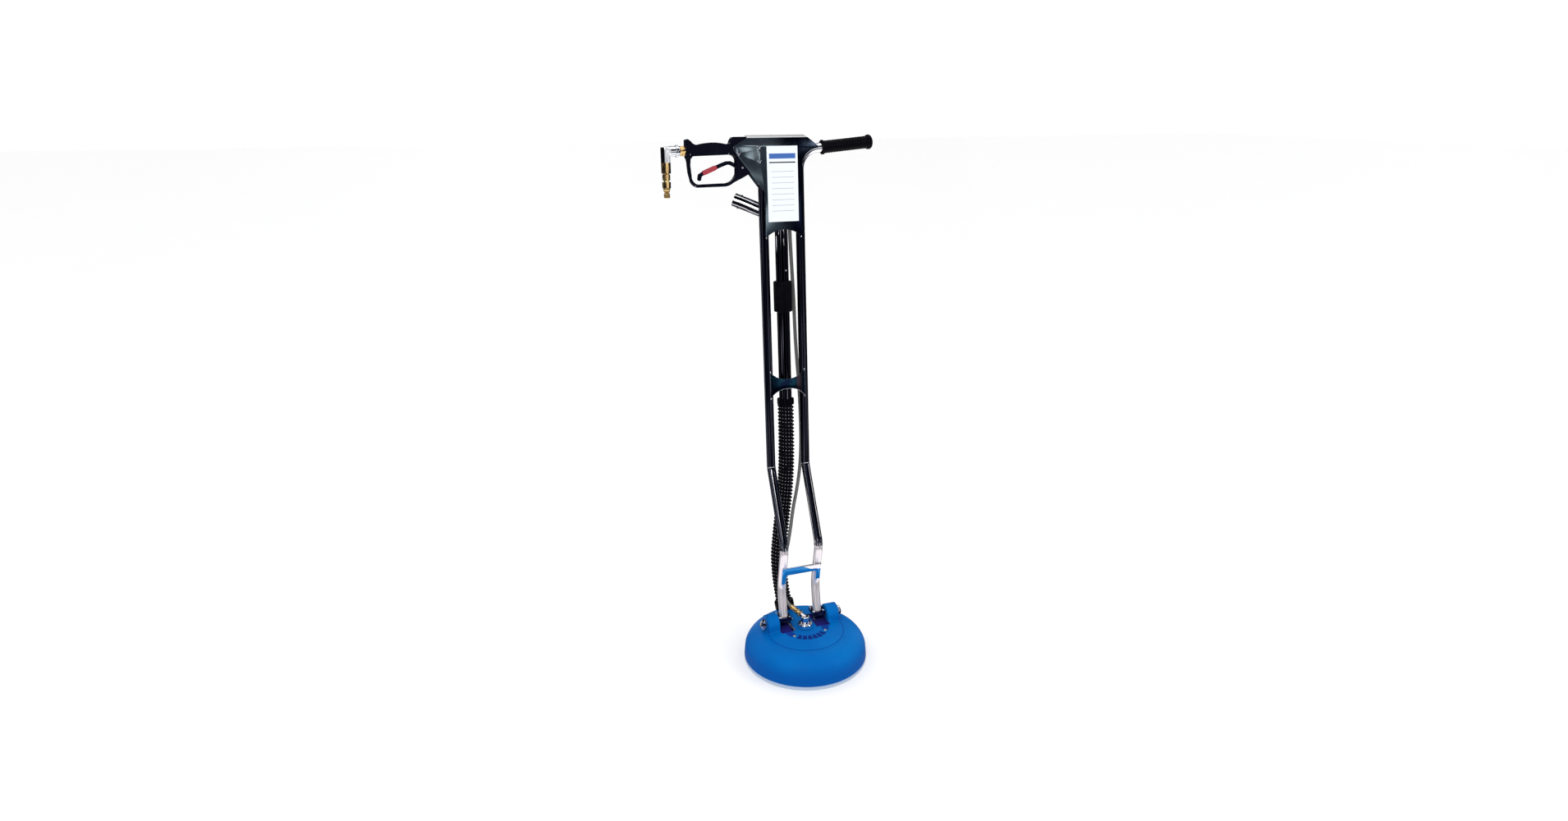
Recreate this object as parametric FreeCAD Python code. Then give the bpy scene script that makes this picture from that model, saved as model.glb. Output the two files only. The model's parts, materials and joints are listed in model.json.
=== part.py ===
"""Upright surface cleaner: a round spinner head on the floor, and a tall tube handle with a spray gun.

Row frame, in millimetres: the origin is the middle of the head on the floor, +X runs along the
handle's hinge towards the rubber grip, +Y points to the operator's side, and +Z is up.
"""

import FreeCAD
import Part
import math
import os

V = FreeCAD.Vector

# Head
HOUSING_RADIUS = 158.2
HOUSING_BOTTOM = 10.0
WALL = 4.0
SHOULDER_Z = 38.0
SHOULDER_RADIUS = 155.5
STEP_RADIUS = 98.0
STEP_Z = 75.0
DECK_RADIUS = 60.0
DECK_Z = 83.0
BRISTLE_GAP = 0.6
RING_SCREW_RADIUS = 153.1

# Swivel in the middle of the head
SWIVEL_RADIUS = 15.8
SHAFT_RADIUS = 6.0
BEARING_RADIUS = 9.5
RUNNING_GAP = 0.05
FLANGE_RADIUS = 59.0
CAP_TOP = 115.0
FITTING_AIM = V(-26.8, 41.2, 19.8).normalize()
FITTING_START = V(0, 0, 109)

# Handle hinge
HINGE_Y = 31.0
HINGE_Z = 93.0
BOSS_RADIUS = 24.0
BOSS_IN = 66.0
BOSS_OUT = 98.0
STUD_RADIUS = 6.0
KNOB_LENGTH = 12.0

# Frame tubes: seven eighths of an inch
TUBE_RADIUS = 11.1
TUBE_BORE = 9.9
TUBE_X = 46.7
BEND_Y = 128.0
BEND_Z = 485.3
LEAN = math.atan(0.075)
FOOT = (36.7, 105.5)
KICK = (52.0, 178.0)
KNEE = (29.0, 298.0)

# Heights up the leaning part of the frame, measured from the upper bend
PLATE_GAP = 11.1
PLATE_THICK = 1.5
PLATE_TOP = 809.0
PLATE_BOTTOM = 576.5
PLATE_ARCH = 595.5
LABEL_LOW = 614.5
LABEL_HIGH = 789.0
LABEL_HALF = 38.5
LEFT_TUBE_TOP = 721.0
TURN_HEIGHT = 779.2
GRIP_SLOPE = math.radians(5.0)
GRIP_START = 104.0
GRIP_LENGTH = 132.0

# Vacuum pipe: one and a quarter inches
PIPE_RADIUS = 15.9
PIPE_BORE = 14.9
PIPE_BACK = 8.0
PIPE_LOW = 164.0
PIPE_JOINT = 433.0
PIPE_CORNER = 621.4
OUTLET_END = V(-100.4, 59.8, 667.9)

# Spray gun, in the frame's own plane
WATER_HEIGHT = 781.6
TRIGGER_PIVOT = (-98.2, 741.3)
PIN_HEIGHT = 763.0
GUARD_HALF = 8.0
GRIP_HALF = 13.5
BLOCK_HALF = 10.8

# Hanging water inlet
INLET_X = -277.0

# Hoses, as points along their routes
VACUUM_HOSE_RADIUS = 21.0
VACUUM_HOSE_BORE = 18.5
SOLUTION_HOSE_RADIUS = 4.5
PORT = V(-20, 104, 100)
HOSE_ABOVE_PORT = V(-33, 122, 200)
PORT_AIM = (HOSE_ABOVE_PORT - PORT).normalize()

# ---------------------------------------------------------------- helpers


def keep(name, shape):
    """Writes one sub-part."""
    solids = shape.Solids
    flat = solids[0] if len(solids) == 1 else Part.makeCompound(solids)
    valid = all(s.isValid() for s in solids)
    box = flat.BoundBox
    print(f"{name:22s} solids {len(solids)} valid {valid} volume {flat.Volume / 1000:.2f} cc",
          f"z {box.ZMin:.1f}..{box.ZMax:.1f}")
    flat.exportStep(f"parts/{name}.step")


def rod(radius, start, end):
    """A round bar between two points."""
    return Part.makeCylinder(radius, (end - start).Length, start, end - start)


def ring(outer, inner, start, end):
    """A tube between two points."""
    reach = (end - start).normalize()
    return rod(outer, start, end).cut(rod(inner, start - reach, end + reach))


def block(x, y, z):
    """A box from its (low, high) pairs."""
    return Part.makeBox(x[1] - x[0], y[1] - y[0], z[1] - z[0], V(x[0], y[0], z[0]))


def turned(profile):
    """A solid of revolution about Z from (radius, height) points and arcs."""
    return planar(profile, 0).revolve(V(0, 0, 0), V(0, 0, 1), 360)


def planar(outline, offset):
    """A flat face from points in X and height. A pair (middle, end) of points makes an arc."""
    def place(p):
        return V(p[0], offset, p[1])

    last = outline[0]
    edges = []
    for item in outline[1:] + [outline[0]]:
        if isinstance(item[0], tuple):
            middle, end = item
            edges.append(Part.Arc(place(last), place(middle), place(end)).toShape())
        else:
            end = item
            if math.dist(last, end) > 1e-6:
                edges.append(Part.LineSegment(place(last), place(end)).toShape())
        last = end
    return Part.Face(Part.Wire(edges))


def slab(outline, front, back):
    """An outline in X and height, thick from front to back along Y."""
    return planar(outline, front).extrude(V(0, back - front, 0))


def hexagon(across, start, end):
    """A hexagonal bar between two points, by its size across flats."""
    axis = (end - start).normalize()
    side = axis.cross(V(0, 0, 1) if abs(axis.z) < 0.9 else V(1, 0, 0)).normalize()
    other = axis.cross(side)
    corner = across / math.sqrt(3)
    turns = [math.radians(60 * i) for i in range(7)]
    points = [start + side * (corner * math.cos(t)) + other * (corner * math.sin(t)) for t in turns]
    return Part.Face(Part.makePolygon(points)).extrude(end - start)


def upper(shape):
    """Places a shape made in the leaning frame's own axes."""
    placed = shape.copy()
    placed.rotate(V(0, 0, 0), V(1, 0, 0), -math.degrees(LEAN))
    placed.translate(V(0, BEND_Y, BEND_Z))
    return placed


def upper_point(x, back, height):
    """A point of the leaning frame, in the row frame."""
    return V(
        x,
        BEND_Y + back * math.cos(LEAN) + height * math.sin(LEAN),
        BEND_Z - back * math.sin(LEAN) + height * math.cos(LEAN),
    )


def rounded_path(points, radii):
    """A wire of straight runs joined by tangent arcs, one radius for each inner point."""
    edges = []
    last = points[0]
    for before, corner, after, radius in zip(points, points[1:], points[2:], radii):
        come = (corner - before).normalize()
        go = (after - corner).normalize()
        half = come.getAngle(go) / 2
        reach = radius * math.tan(half)
        start = corner - come * reach
        end = corner + go * reach
        inward = (go - come).normalize()
        middle = corner + inward * (radius / math.cos(half) - radius)
        edges.append(Part.LineSegment(last, start).toShape())
        edges.append(Part.Arc(start, middle, end).toShape())
        last = end
    edges.append(Part.LineSegment(last, points[-1]).toShape())
    return Part.Wire(edges)


def swept(path, radius):
    """A round bar along a path."""
    first = path.Edges[0]
    start = first.valueAt(first.FirstParameter)
    aim = first.tangentAt(first.FirstParameter)
    circle = Part.Wire([Part.makeCircle(radius, start, aim)])
    return path.makePipeShell([circle], True, False)


def bent_tube(points, radii, outer, inner):
    """A bent tube, open at both ends."""
    path = rounded_path(points, radii)
    return swept(path, outer).cut(swept(path, inner))


def strip(points, width, half):
    """A bar of constant width that follows points in X and height, thick half each way along Y."""
    whole = None
    for a, b in zip(points, points[1:]):
        start = V(a[0], -half, a[1])
        end = V(b[0], -half, b[1])
        along = (end - start).normalize()
        side = along.cross(V(0, 1, 0)) * (width / 2)
        corners = [start + side, end + side, end - side, start - side, start + side]
        piece = Part.Face(Part.makePolygon(corners)).extrude(V(0, 2 * half, 0))
        for eye in (start, end):
            piece = piece.fuse(Part.makeCylinder(width / 2, 2 * half, eye, V(0, 1, 0)))
        whole = piece if whole is None else whole.fuse(piece)
    return whole.removeSplitter()


# ---------------------------------------------------------------- head


def housing_profile(inset):
    """The dome's outline from the rim up to the middle, moved in by the wall's thickness."""
    rim = HOUSING_RADIUS - inset
    side = SHOULDER_RADIUS - inset
    top = STEP_Z - inset
    turn = math.sqrt(0.5)
    middle = (STEP_RADIUS + (side - STEP_RADIUS) * turn, SHOULDER_Z + (top - SHOULDER_Z) * turn)
    return rim, side, top, middle


def dome(inset, bottom):
    """The dome's solid. The shoulder is an arc from the side wall to the deck's step."""
    rim, side, top, middle = housing_profile(inset)
    lift = 0 if inset else 1.5
    return turned([
        (0, bottom),
        (rim, bottom),
        (side, SHOULDER_Z),
        (middle, (STEP_RADIUS, top)),
        (STEP_RADIUS - lift, top + lift),
        (DECK_RADIUS, DECK_Z - inset),
        (0, DECK_Z - inset),
    ])


def housing():
    shell = dome(0, HOUSING_BOTTOM).cut(dome(WALL, HOUSING_BOTTOM - 1))
    for side in (-1, 1):
        inner = V(side * BOSS_IN, HINGE_Y, HINGE_Z)
        outer = V(side * BOSS_OUT, HINGE_Y, HINGE_Z)
        foot = sorted((side * BOSS_IN, side * BOSS_OUT))
        shell = shell.fuse(rod(BOSS_RADIUS, inner, outer))
        shell = shell.fuse(block(foot, (HINGE_Y - BOSS_RADIUS, HINGE_Y + BOSS_RADIUS), (68, HINGE_Z)))
    shell = shell.fuse(rod(22, PORT - PORT_AIM * 34, PORT))
    for side in (-1, 1):
        well = sorted((side * 29, side * 66))
        tub = block((well[0] - 2 * (side < 0), well[1] + 2 * (side > 0)), (-12, 62), (68, 80))
        shell = shell.fuse(tub.common(dome(0, HOUSING_BOTTOM)))
        shell = shell.cut(block(well, (-8, 58), (72, 120)))
        shell = shell.cut(rod(8.5, V(side * 60, HINGE_Y, HINGE_Z), V(side * 110, HINGE_Y, HINGE_Z)))
    shell = shell.cut(rod(17, PORT - PORT_AIM * 50, PORT + PORT_AIM))
    shell = shell.cut(rod(SWIVEL_RADIUS + 0.2, V(0, 0, 60), V(0, 0, 100)))
    for i in range(6):
        shell = shell.cut(pocket(-127.5 + 15 * i))
    for x, y in hub_screw_places():
        shell = shell.cut(rod(2.6, V(x, y, 60), V(x, y, 100)))
    for x, y in ring_screw_places():
        shell = shell.cut(rod(1.6, V(x, y, 9), V(x, y, 14)))
    return shell.removeSplitter()


def pocket(angle):
    """One of the shallow pockets between the ribs around the swivel."""
    whole = ring(57, 46.5, V(0, 0, DECK_Z - 2.4), V(0, 0, DECK_Z + 5))
    wedge = Part.makeCylinder(70, 20, V(0, 0, DECK_Z - 5), V(0, 0, 1), 12)
    wedge.rotate(V(0, 0, 0), V(0, 0, 1), angle - 6)
    return whole.common(wedge)


def hub_screw_places():
    turns = [math.radians(a) for a in (-142.5, -37.5, 68, 112)]
    return [(53.0 * math.cos(t), 53.0 * math.sin(t)) for t in turns]


def hub_screws():
    """Countersunk-style screws from above: heads on the deck, threads in the swivel's flange."""
    parts = []
    for x, y in hub_screw_places():
        head = turned([(0, DECK_Z), (4.2, DECK_Z), (4.2, DECK_Z + 1), (2.6, DECK_Z + 2.6), (0, DECK_Z + 2.6)])
        head.translate(V(x, y, 0))
        shank = rod(2.45, V(x, y, DECK_Z - 9.5), V(x, y, DECK_Z))
        parts.append(head.fuse(shank).removeSplitter())
    return Part.makeCompound(parts)


def brush_ring():
    """White floor ring under the rim: it carries the bristles and glides on the floor."""
    body = turned([
        (150, 0), (156.2, 0), (157.6, 1.6), (157.6, 10), (153.9, 10),
        (152.7, 22), (137, 22), (137, 17), (150, 17),
    ])
    for x, y in ring_screw_places():
        body = body.cut(rod(1.6, V(x, y, -1), V(x, y, 14)))
        body = body.cut(rod(2.6, V(x, y, -1), V(x, y, 4)))
    return body


def ring_screw_places():
    turns = [math.radians(60 * i + 30) for i in range(6)]
    return [(RING_SCREW_RADIUS * math.cos(t), RING_SCREW_RADIUS * math.sin(t)) for t in turns]


def ring_screws():
    parts = []
    for x, y in ring_screw_places():
        screw = rod(2.5, V(x, y, 1.5), V(x, y, 4)).fuse(rod(1.5, V(x, y, 4), V(x, y, 13.9)))
        parts.append(screw.removeSplitter())
    return Part.makeCompound(parts)


def bristle_strip():
    return ring(149.5, 139, V(0, 0, BRISTLE_GAP), V(0, 0, 17))


def swivel_body():
    body = turned([
        (BEARING_RADIUS, 42), (15, 42), (SWIVEL_RADIUS, 44), (SWIVEL_RADIUS, 73), (FLANGE_RADIUS, 73),
        (FLANGE_RADIUS, DECK_Z - WALL), (SWIVEL_RADIUS, DECK_Z - WALL), (SWIVEL_RADIUS, DECK_Z),
        (13, DECK_Z), (13, 96), (BEARING_RADIUS, 96),
    ])
    for x, y in hub_screw_places():
        body = body.cut(rod(2.5, V(x, y, 70), V(x, y, 85)))
    for side in (-1, 1):
        body = body.cut(block(sorted((side * 26, side * 70)), (-14, 64), (60, 90)))
    return body


def fluted_collar():
    """Chrome collar nut with flutes around it."""
    nut = turned([
        (13.05, DECK_Z + 0.1), (17.4, DECK_Z + 0.1), (18.6, DECK_Z + 1.6),
        (18.6, 93.6), (17, 95.6), (13.05, 95.6),
    ])
    flutes = 16
    for i in range(flutes):
        t = math.radians(360 / flutes * i)
        at = V(19.6 * math.cos(t), 19.6 * math.sin(t), DECK_Z - 1)
        nut = nut.cut(Part.makeCylinder(2.1, 20, at, V(0, 0, 1)))
    return nut


def swivel_cap():
    """Chrome cap that takes the solution in above the shaft."""
    cap = turned([
        (0, 96.1), (12.4, 96.1), (12.4, 99), (10.8, 101), (10.8, 112),
        ((9.8, 114.2), (7.5, CAP_TOP)), (0, CAP_TOP),
    ])
    cap = cap.fuse(rod(6.6, FITTING_START, FITTING_START + FITTING_AIM * 15))
    cap = cap.cut(rod(3, FITTING_START, FITTING_START + FITTING_AIM * 16))
    return cap.cut(rod(3, V(0, 0, 95), FITTING_START)).removeSplitter()


def inlet_fitting():
    """Brass hose fitting on the cap: two hexagons with a neck between them."""
    at = [FITTING_START + FITTING_AIM * d for d in (15.05, 21, 25, 32)]
    body = hexagon(14, at[0], at[1]).fuse(rod(5.4, at[1], at[2])).fuse(hexagon(12.5, at[2], at[3]))
    return body.cut(rod(2.8, at[0] - FITTING_AIM, at[3] + FITTING_AIM)).removeSplitter()


def hose_ferrule():
    start = FITTING_START + FITTING_AIM * 32.05
    end = FITTING_START + FITTING_AIM * 49
    body = rod(6.6, start, end)
    for i in range(3):
        low = start + FITTING_AIM * (3.2 + 4.4 * i)
        body = body.cut(ring(8, 6.0, low, low + FITTING_AIM * 1.4))
    return body.cut(rod(2.8, start - FITTING_AIM, end + FITTING_AIM))


def port_cuff():
    """Rubber cuff that holds the vacuum hose on the housing's port."""
    return ring(25.5, 22.1, PORT - PORT_AIM * 12, PORT + PORT_AIM * 8)


def make_head():
    keep("housing", housing())
    keep("brush_ring", brush_ring())
    keep("ring_screws", ring_screws())
    keep("bristle_strip", bristle_strip())
    keep("swivel_body", swivel_body())
    keep("fluted_collar", fluted_collar())
    keep("swivel_cap", swivel_cap())
    bearing_inner = SHAFT_RADIUS + RUNNING_GAP
    keep("lower_bearing", ring(BEARING_RADIUS, bearing_inner, V(0, 0, 44), V(0, 0, 52)))
    keep("upper_bearing", ring(BEARING_RADIUS, bearing_inner, V(0, 0, 82), V(0, 0, 90)))
    keep("shaft_seal", ring(BEARING_RADIUS, bearing_inner, V(0, 0, 91), V(0, 0, 95.5)))
    keep("hub_screws", hub_screws())
    keep("inlet_fitting", inlet_fitting())
    keep("hose_ferrule", hose_ferrule())
    keep("port_cuff", port_cuff())
    for name, side in (("left", -1), ("right", 1)):
        start = V(side * BOSS_IN, HINGE_Y, HINGE_Z)
        end = V(side * BOSS_OUT, HINGE_Y, HINGE_Z)
        keep(f"pivot_bush_{name}", ring(8.5, STUD_RADIUS + RUNNING_GAP, start, end))


# ---------------------------------------------------------------- rotor under the head


def make_rotor():
    shaft = rod(SHAFT_RADIUS, V(0, 0, 40), V(0, 0, 94)).cut(rod(2.5, V(0, 0, 39), V(0, 0, 95)))
    keep("rotor_shaft", shaft)
    hub = turned([(0, 22), (14, 22), (17, 25), (17, 37), (14, 40), (0, 40)])
    hub = hub.cut(rod(7.5, V(-20, 0, 31), V(20, 0, 31)))
    keep("rotor_hub", hub)
    keep("spray_bar", ring(7.5, 5.5, V(-124, 0, 31), V(124, 0, 31)))
    jets = []
    for x in (-116, 116):
        jet = rod(4.6, V(x, 0, 14), V(x, 0, 23.4)).cut(rod(0.8, V(x, 0, 13), V(x, 0, 24)))
        jets.append(jet)
    keep("spray_jets", Part.makeCompound(jets))


# ---------------------------------------------------------------- hinge and knobs


def hinge_block(side):
    """Block on the pivot stud that the tube's foot is bolted to."""
    x = side * TUBE_X
    lug = rod(12, V(x - 11.5, HINGE_Y, HINGE_Z), V(x + 11.5, HINGE_Y, HINGE_Z))
    body = lug.fuse(block((x - 11.5, x + 11.5), (HINGE_Y - 12, HINGE_Y + 12), (HINGE_Z, 97)))
    body = body.fuse(block((x - 17, x + 17), (20, 53), (96, 102)))
    body = body.cut(block((x - 20, x + 20), (10, 60), (102, 110)))
    body = body.cut(rod(STUD_RADIUS + RUNNING_GAP, V(x - 20, HINGE_Y, HINGE_Z), V(x + 20, HINGE_Y, HINGE_Z)))
    for bolt_x, bolt_y in foot_bolt_places(side):
        body = body.cut(rod(2.1, V(bolt_x, bolt_y, 90), V(bolt_x, bolt_y, 104)))
    return body.removeSplitter()


def foot_bolt_places(side):
    x = side * TUBE_X
    return [(x + dx, 36.5 + dy) for dx in (-13.2, 13.2) for dy in (-12.5, 12.5)]


def foot_bolts():
    parts = []
    for side in (-1, 1):
        for x, y in foot_bolt_places(side):
            head = hexagon(7, V(x, y, 105.5), V(x, y, 109))
            parts.append(head.fuse(rod(2.0, V(x, y, 97), V(x, y, 105.5))).removeSplitter())
    return Part.makeCompound(parts)


def clamp_knob(side):
    """Chrome wing knob on the end of its stud, with two rounded wings and a domed hub."""
    start = side * (BOSS_OUT + 0.6)
    end = side * (BOSS_OUT + KNOB_LENGTH)
    hub = rod(9, V(start, HINGE_Y, HINGE_Z), V(end, HINGE_Y, HINGE_Z))
    turn = math.radians(100)
    for way in (-1, 1):
        reach = V(0, math.cos(turn), math.sin(turn)) * way
        tip = V(start + side * 2, HINGE_Y, HINGE_Z) + reach * 10.2
        hub = hub.fuse(rod(6.2, tip, tip + V(side * 7, 0, 0)))
    bore = rod(STUD_RADIUS - 1.5, V(start - side, HINGE_Y, HINGE_Z), V(end + side, HINGE_Y, HINGE_Z))
    return hub.cut(bore).removeSplitter()


def pivot_stud(side):
    thick = rod(STUD_RADIUS, V(side * 34.5, HINGE_Y, HINGE_Z), V(side * (BOSS_OUT + 0.5), HINGE_Y, HINGE_Z))
    thin = rod(
        STUD_RADIUS - 1.55,
        V(side * (BOSS_OUT + 0.5), HINGE_Y, HINGE_Z),
        V(side * (BOSS_OUT + KNOB_LENGTH + 2), HINGE_Y, HINGE_Z),
    )
    return thick.fuse(thin).removeSplitter()


def make_hinge():
    for name, side in (("left", -1), ("right", 1)):
        keep(f"hinge_block_{name}", hinge_block(side))
        keep(f"clamp_knob_{name}", clamp_knob(side))
        keep(f"pivot_stud_{name}", pivot_stud(side))
    keep("foot_bolts", foot_bolts())


# ---------------------------------------------------------------- frame


def tube_points(side):
    x = side * TUBE_X
    low = [V(x, FOOT[0], FOOT[1]), V(x, KICK[0], KICK[1]), V(x, KNEE[0], KNEE[1]), V(x, BEND_Y, BEND_Z)]
    if side < 0:
        return low + [upper_point(x, 0, LEFT_TUBE_TOP)], [120, 55, 34]
    end_x = GRIP_START + GRIP_LENGTH - 7
    end = TURN_HEIGHT + (end_x - TUBE_X) * math.tan(GRIP_SLOPE)
    return low + [upper_point(x, 0, TURN_HEIGHT), upper_point(end_x, 0, end)], [120, 55, 34, 48]


def frame_tube(side):
    """A frame tube with the flat foot that is welded to its lower end."""
    points, radii = tube_points(side)
    points[0] = points[0] + (points[0] - points[1]).normalize() * 4
    tube = bent_tube(points, radii, TUBE_RADIUS, TUBE_BORE)
    x = side * TUBE_X
    tube = tube.cut(block((x - 20, x + 20), (0, 70), (90, 102.05)))
    foot = block((x - 17, x + 17), (20, 53), (102.05, 105.45))
    for bolt_x, bolt_y in foot_bolt_places(side):
        foot = foot.cut(rod(2.2, V(bolt_x, bolt_y, 100), V(bolt_x, bolt_y, 110)))
    return tube.fuse(foot).removeSplitter()


def lower_brace():
    """Inverted U of strip steel across the front of the two tubes, above the head."""
    run = V(0, KNEE[0] - KICK[0], KNEE[1] - KICK[1]).normalize()
    outline = [(-53, 0), (-40.5, 0), (-40.5, 24), (-37, 27.5), (37, 27.5), (40.5, 24),
               (40.5, 0), (53, 0), (53, 50), (-53, 50)]
    plate = slab(outline, -TUBE_RADIUS - 2.6, -TUBE_RADIUS)
    plate.rotate(V(0, 0, 0), V(1, 0, 0), math.degrees(math.atan2(-run.y, run.z)))
    start = V(0, KICK[0], KICK[1]) + run * 21
    plate.translate(start)
    return plate


def mid_brace():
    """Waisted plate across the front of the tubes."""
    outline = [
        (-46, 181), ((-24, 199), (0, 203)), ((24, 199), (46, 181)),
        (46, 250), ((24, 233), (0, 228.5)), ((-24, 233), (-46, 250)),
    ]
    return upper(slab(outline, -PLATE_GAP - PLATE_THICK, -PLATE_GAP))


def pipe_clip():
    """Saddle that holds the vacuum pipe to the back of the middle brace."""
    start = V(0, PIPE_BACK, 207)
    end = V(0, PIPE_BACK, 225)
    clip = rod(PIPE_RADIUS + 2.1, start, end).fuse(block((-9, 9), (-PLATE_GAP + 0.02, -5), (207, 225)))
    return upper(clip.cut(rod(PIPE_RADIUS + 0.05, start - V(0, 0, 1), end + V(0, 0, 1))))


def console_outline(bottom, arch):
    """Outline of the console plates: a gun wing on the left, a shoulder on the right, tall legs."""
    turn = math.radians(137.5)
    centre = (TUBE_X + 48, 735.2)
    middle = (centre[0] + 48 * math.cos(turn), centre[1] + 48 * math.sin(turn))
    return [
        (-TUBE_X, bottom), ((0, arch), (TUBE_X, bottom)),
        (TUBE_X, 735.2), (middle, (90.5, 783.0)), (95, 786), (64, PLATE_TOP), (-84, PLATE_TOP),
        (-114, 792.5), ((-120.5, 785.5), (-118.5, 779)), (-113, 772), (-44, 682.5), (-TUBE_X, 676),
    ]


def screw_places():
    return [(-56, 786.9), (-56, 754.8), (-107.5, 772.2)]


def front_plate():
    outline = console_outline(PLATE_BOTTOM, PLATE_ARCH)
    plate = slab(outline, -PLATE_GAP - PLATE_THICK, -PLATE_GAP)
    fold = Part.makePolygon([
        V(-84, -PLATE_GAP - PLATE_THICK, PLATE_TOP), V(-84, 12.6, PLATE_TOP + 6.2),
        V(-84, 12.6, PLATE_TOP + 6.2 - PLATE_THICK), V(-84, -PLATE_GAP, PLATE_TOP - PLATE_THICK),
        V(-84, -PLATE_GAP - PLATE_THICK, PLATE_TOP - PLATE_THICK),
        V(-84, -PLATE_GAP - PLATE_THICK, PLATE_TOP),
    ])
    plate = plate.fuse(Part.Face(fold).extrude(V(148, 0, 0)))
    return upper(cut_screw_holes(plate).removeSplitter())


def cut_screw_holes(shape):
    for x, height in screw_places():
        shape = shape.cut(rod(2.6, V(x, -20, height), V(x, 20, height)))
    return shape


def rear_plate():
    """Back plate of the console, cut short above the vacuum outlet."""
    outline = [
        (-40, 690), (TUBE_X, 690), (TUBE_X, 735.2), (60.8, 769.1), (64, PLATE_TOP), (-84, PLATE_TOP),
        (-114, 792.5), ((-120.5, 785.5), (-118.5, 779)), (-113, 772), (-57, 698), (-50, 690),
    ]
    plate = slab(outline, PLATE_GAP, PLATE_GAP + PLATE_THICK)
    return upper(cut_screw_holes(plate).removeSplitter())


def plate_screws():
    """Dome-headed screws through both plates and the gun, with nuts at the back."""
    parts = []
    for x, height in screw_places():
        front = -PLATE_GAP - PLATE_THICK
        back = PLATE_GAP + PLATE_THICK
        screw = rod(2.45, V(x, front - 1.0, height), V(x, back + 3.4, height))
        screw = screw.fuse(rod(4.4, V(x, front - 1.2, height), V(x, front - 0.02, height)))
        screw = screw.fuse(rod(3.2, V(x, front - 2.2, height), V(x, front - 1.2, height)))
        screw = screw.fuse(hexagon(7, V(x, back + 0.02, height), V(x, back + 2.8, height)))
        parts.append(screw.removeSplitter())
    return upper(Part.makeCompound(parts))


def label_panel():
    front = -PLATE_GAP - PLATE_THICK
    return upper(block((-LABEL_HALF, LABEL_HALF), (front - 0.6, front - 0.02), (LABEL_LOW, LABEL_HIGH)))


def grip_axis(distance):
    """A point on the rubber grip's axis, in the leaning frame."""
    rise = (GRIP_START + distance * math.cos(GRIP_SLOPE) - TUBE_X) * math.tan(GRIP_SLOPE)
    return V(GRIP_START + distance * math.cos(GRIP_SLOPE), 0, TURN_HEIGHT + rise)


def rubber_grip():
    """Ribbed rubber grip with a guard flange at each end, closed at the outer end."""
    profile = [(TUBE_RADIUS + 0.02, 0), (16, 0), ((17.4, 0.6), (17.6, 2.2)), (17.6, 4), ((16.8, 6), (14, 7))]
    ribs = 15
    pitch = 7.2
    for i in range(ribs):
        low = 8 + pitch * i
        profile += [(14, low + 1.6), (15.1, low + 2.6), (15.1, low + 5.2), (14, low + 6.2)]
    profile += [(14, 118), ((16.8, 119.4), (17.8, 122)), (17.8, 127), ((16.6, 130.6), (13, GRIP_LENGTH))]
    profile += [(0, GRIP_LENGTH), (0, 126), (TUBE_RADIUS + 0.02, 126)]
    grip = turned(profile)
    grip.rotate(V(0, 0, 0), V(0, 1, 0), 90 - math.degrees(GRIP_SLOPE))
    grip.translate(grip_axis(0))
    return upper(grip)


def make_frame():
    keep("left_tube", frame_tube(-1))
    keep("right_tube", frame_tube(1))
    keep("lower_brace", lower_brace())
    keep("mid_brace", mid_brace())
    keep("pipe_clip", pipe_clip())
    keep("front_plate", front_plate())
    keep("rear_plate", rear_plate())
    keep("plate_screws", plate_screws())
    keep("label_panel", label_panel())
    keep("rubber_grip", rubber_grip())


# ---------------------------------------------------------------- vacuum pipe


def make_vacuum_pipe():
    low = V(0, PIPE_BACK, PIPE_LOW)
    joint = V(0, PIPE_BACK, PIPE_JOINT)
    keep("vac_pipe_lower", upper(ring(PIPE_RADIUS, PIPE_BORE, low, joint)))
    corner = V(0, PIPE_BACK, PIPE_CORNER)
    pipe = bent_tube([joint + V(0, 0, 0.4), corner, OUTLET_END], [40], PIPE_RADIUS, PIPE_BORE)
    aim = (OUTLET_END - corner).normalize()
    bead = ring(PIPE_RADIUS + 1.4, PIPE_BORE + 0.5, OUTLET_END - aim * 17, OUTLET_END - aim * 14)
    keep("vac_pipe_upper", upper(pipe.fuse(bead).removeSplitter()))
    sleeve = turned([(PIPE_RADIUS + 0.05, 395.8), (21.6, 395.8), (22.8, 397), (22.8, 468.8),
                     (21.6, 470), (PIPE_RADIUS + 0.05, 470)])
    sleeve.translate(V(0, PIPE_BACK, 0))
    keep("vac_coupling", upper(sleeve))
    cuff = ring(21.4, PIPE_RADIUS + 0.05, V(0, PIPE_BACK, 160), V(0, PIPE_BACK, 174))
    keep("hose_cuff", upper(cuff))


# ---------------------------------------------------------------- spray gun


def gun_outline():
    """The gun's side view: hand grip on top, finger guard around below, block at the right."""
    outer = [
        (-46, 805), (-85, 805), (-86, 811), (-119, 811), (-122.5, 806.5), (-126, 796.5),
        (-134, 794.6), ((-168, 799.2), (-200, 795.6)), ((-211, 795.8), (-219, 802.5)),
        (-226.5, 808), (-230.5, 806.5), (-231, 771), (-228.4, 757), (-226.8, 734), (-222.9, 716.5),
        ((-217.4, 705.2), (-206, 699.2)), (-142, 699.8), ((-130, 702.2), (-119.3, 708.2)),
        (-98.7, 717.9), (-80, 727.5), (-46, 740),
    ]
    finger = [
        (-126, 771.5), (-213, 769.6), ((-218.4, 767), (-220.2, 762)), (-221.6, 750), (-219.6, 725),
        ((-215, 712), (-204.7, 706.4)), (-146, 707.6), ((-126, 712), (-113.4, 727)),
        (-112.3, 735), (-112.3, 755.6), ((-115.6, 766.6), (-126, 771.5)),
    ]
    return outer, finger


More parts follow.
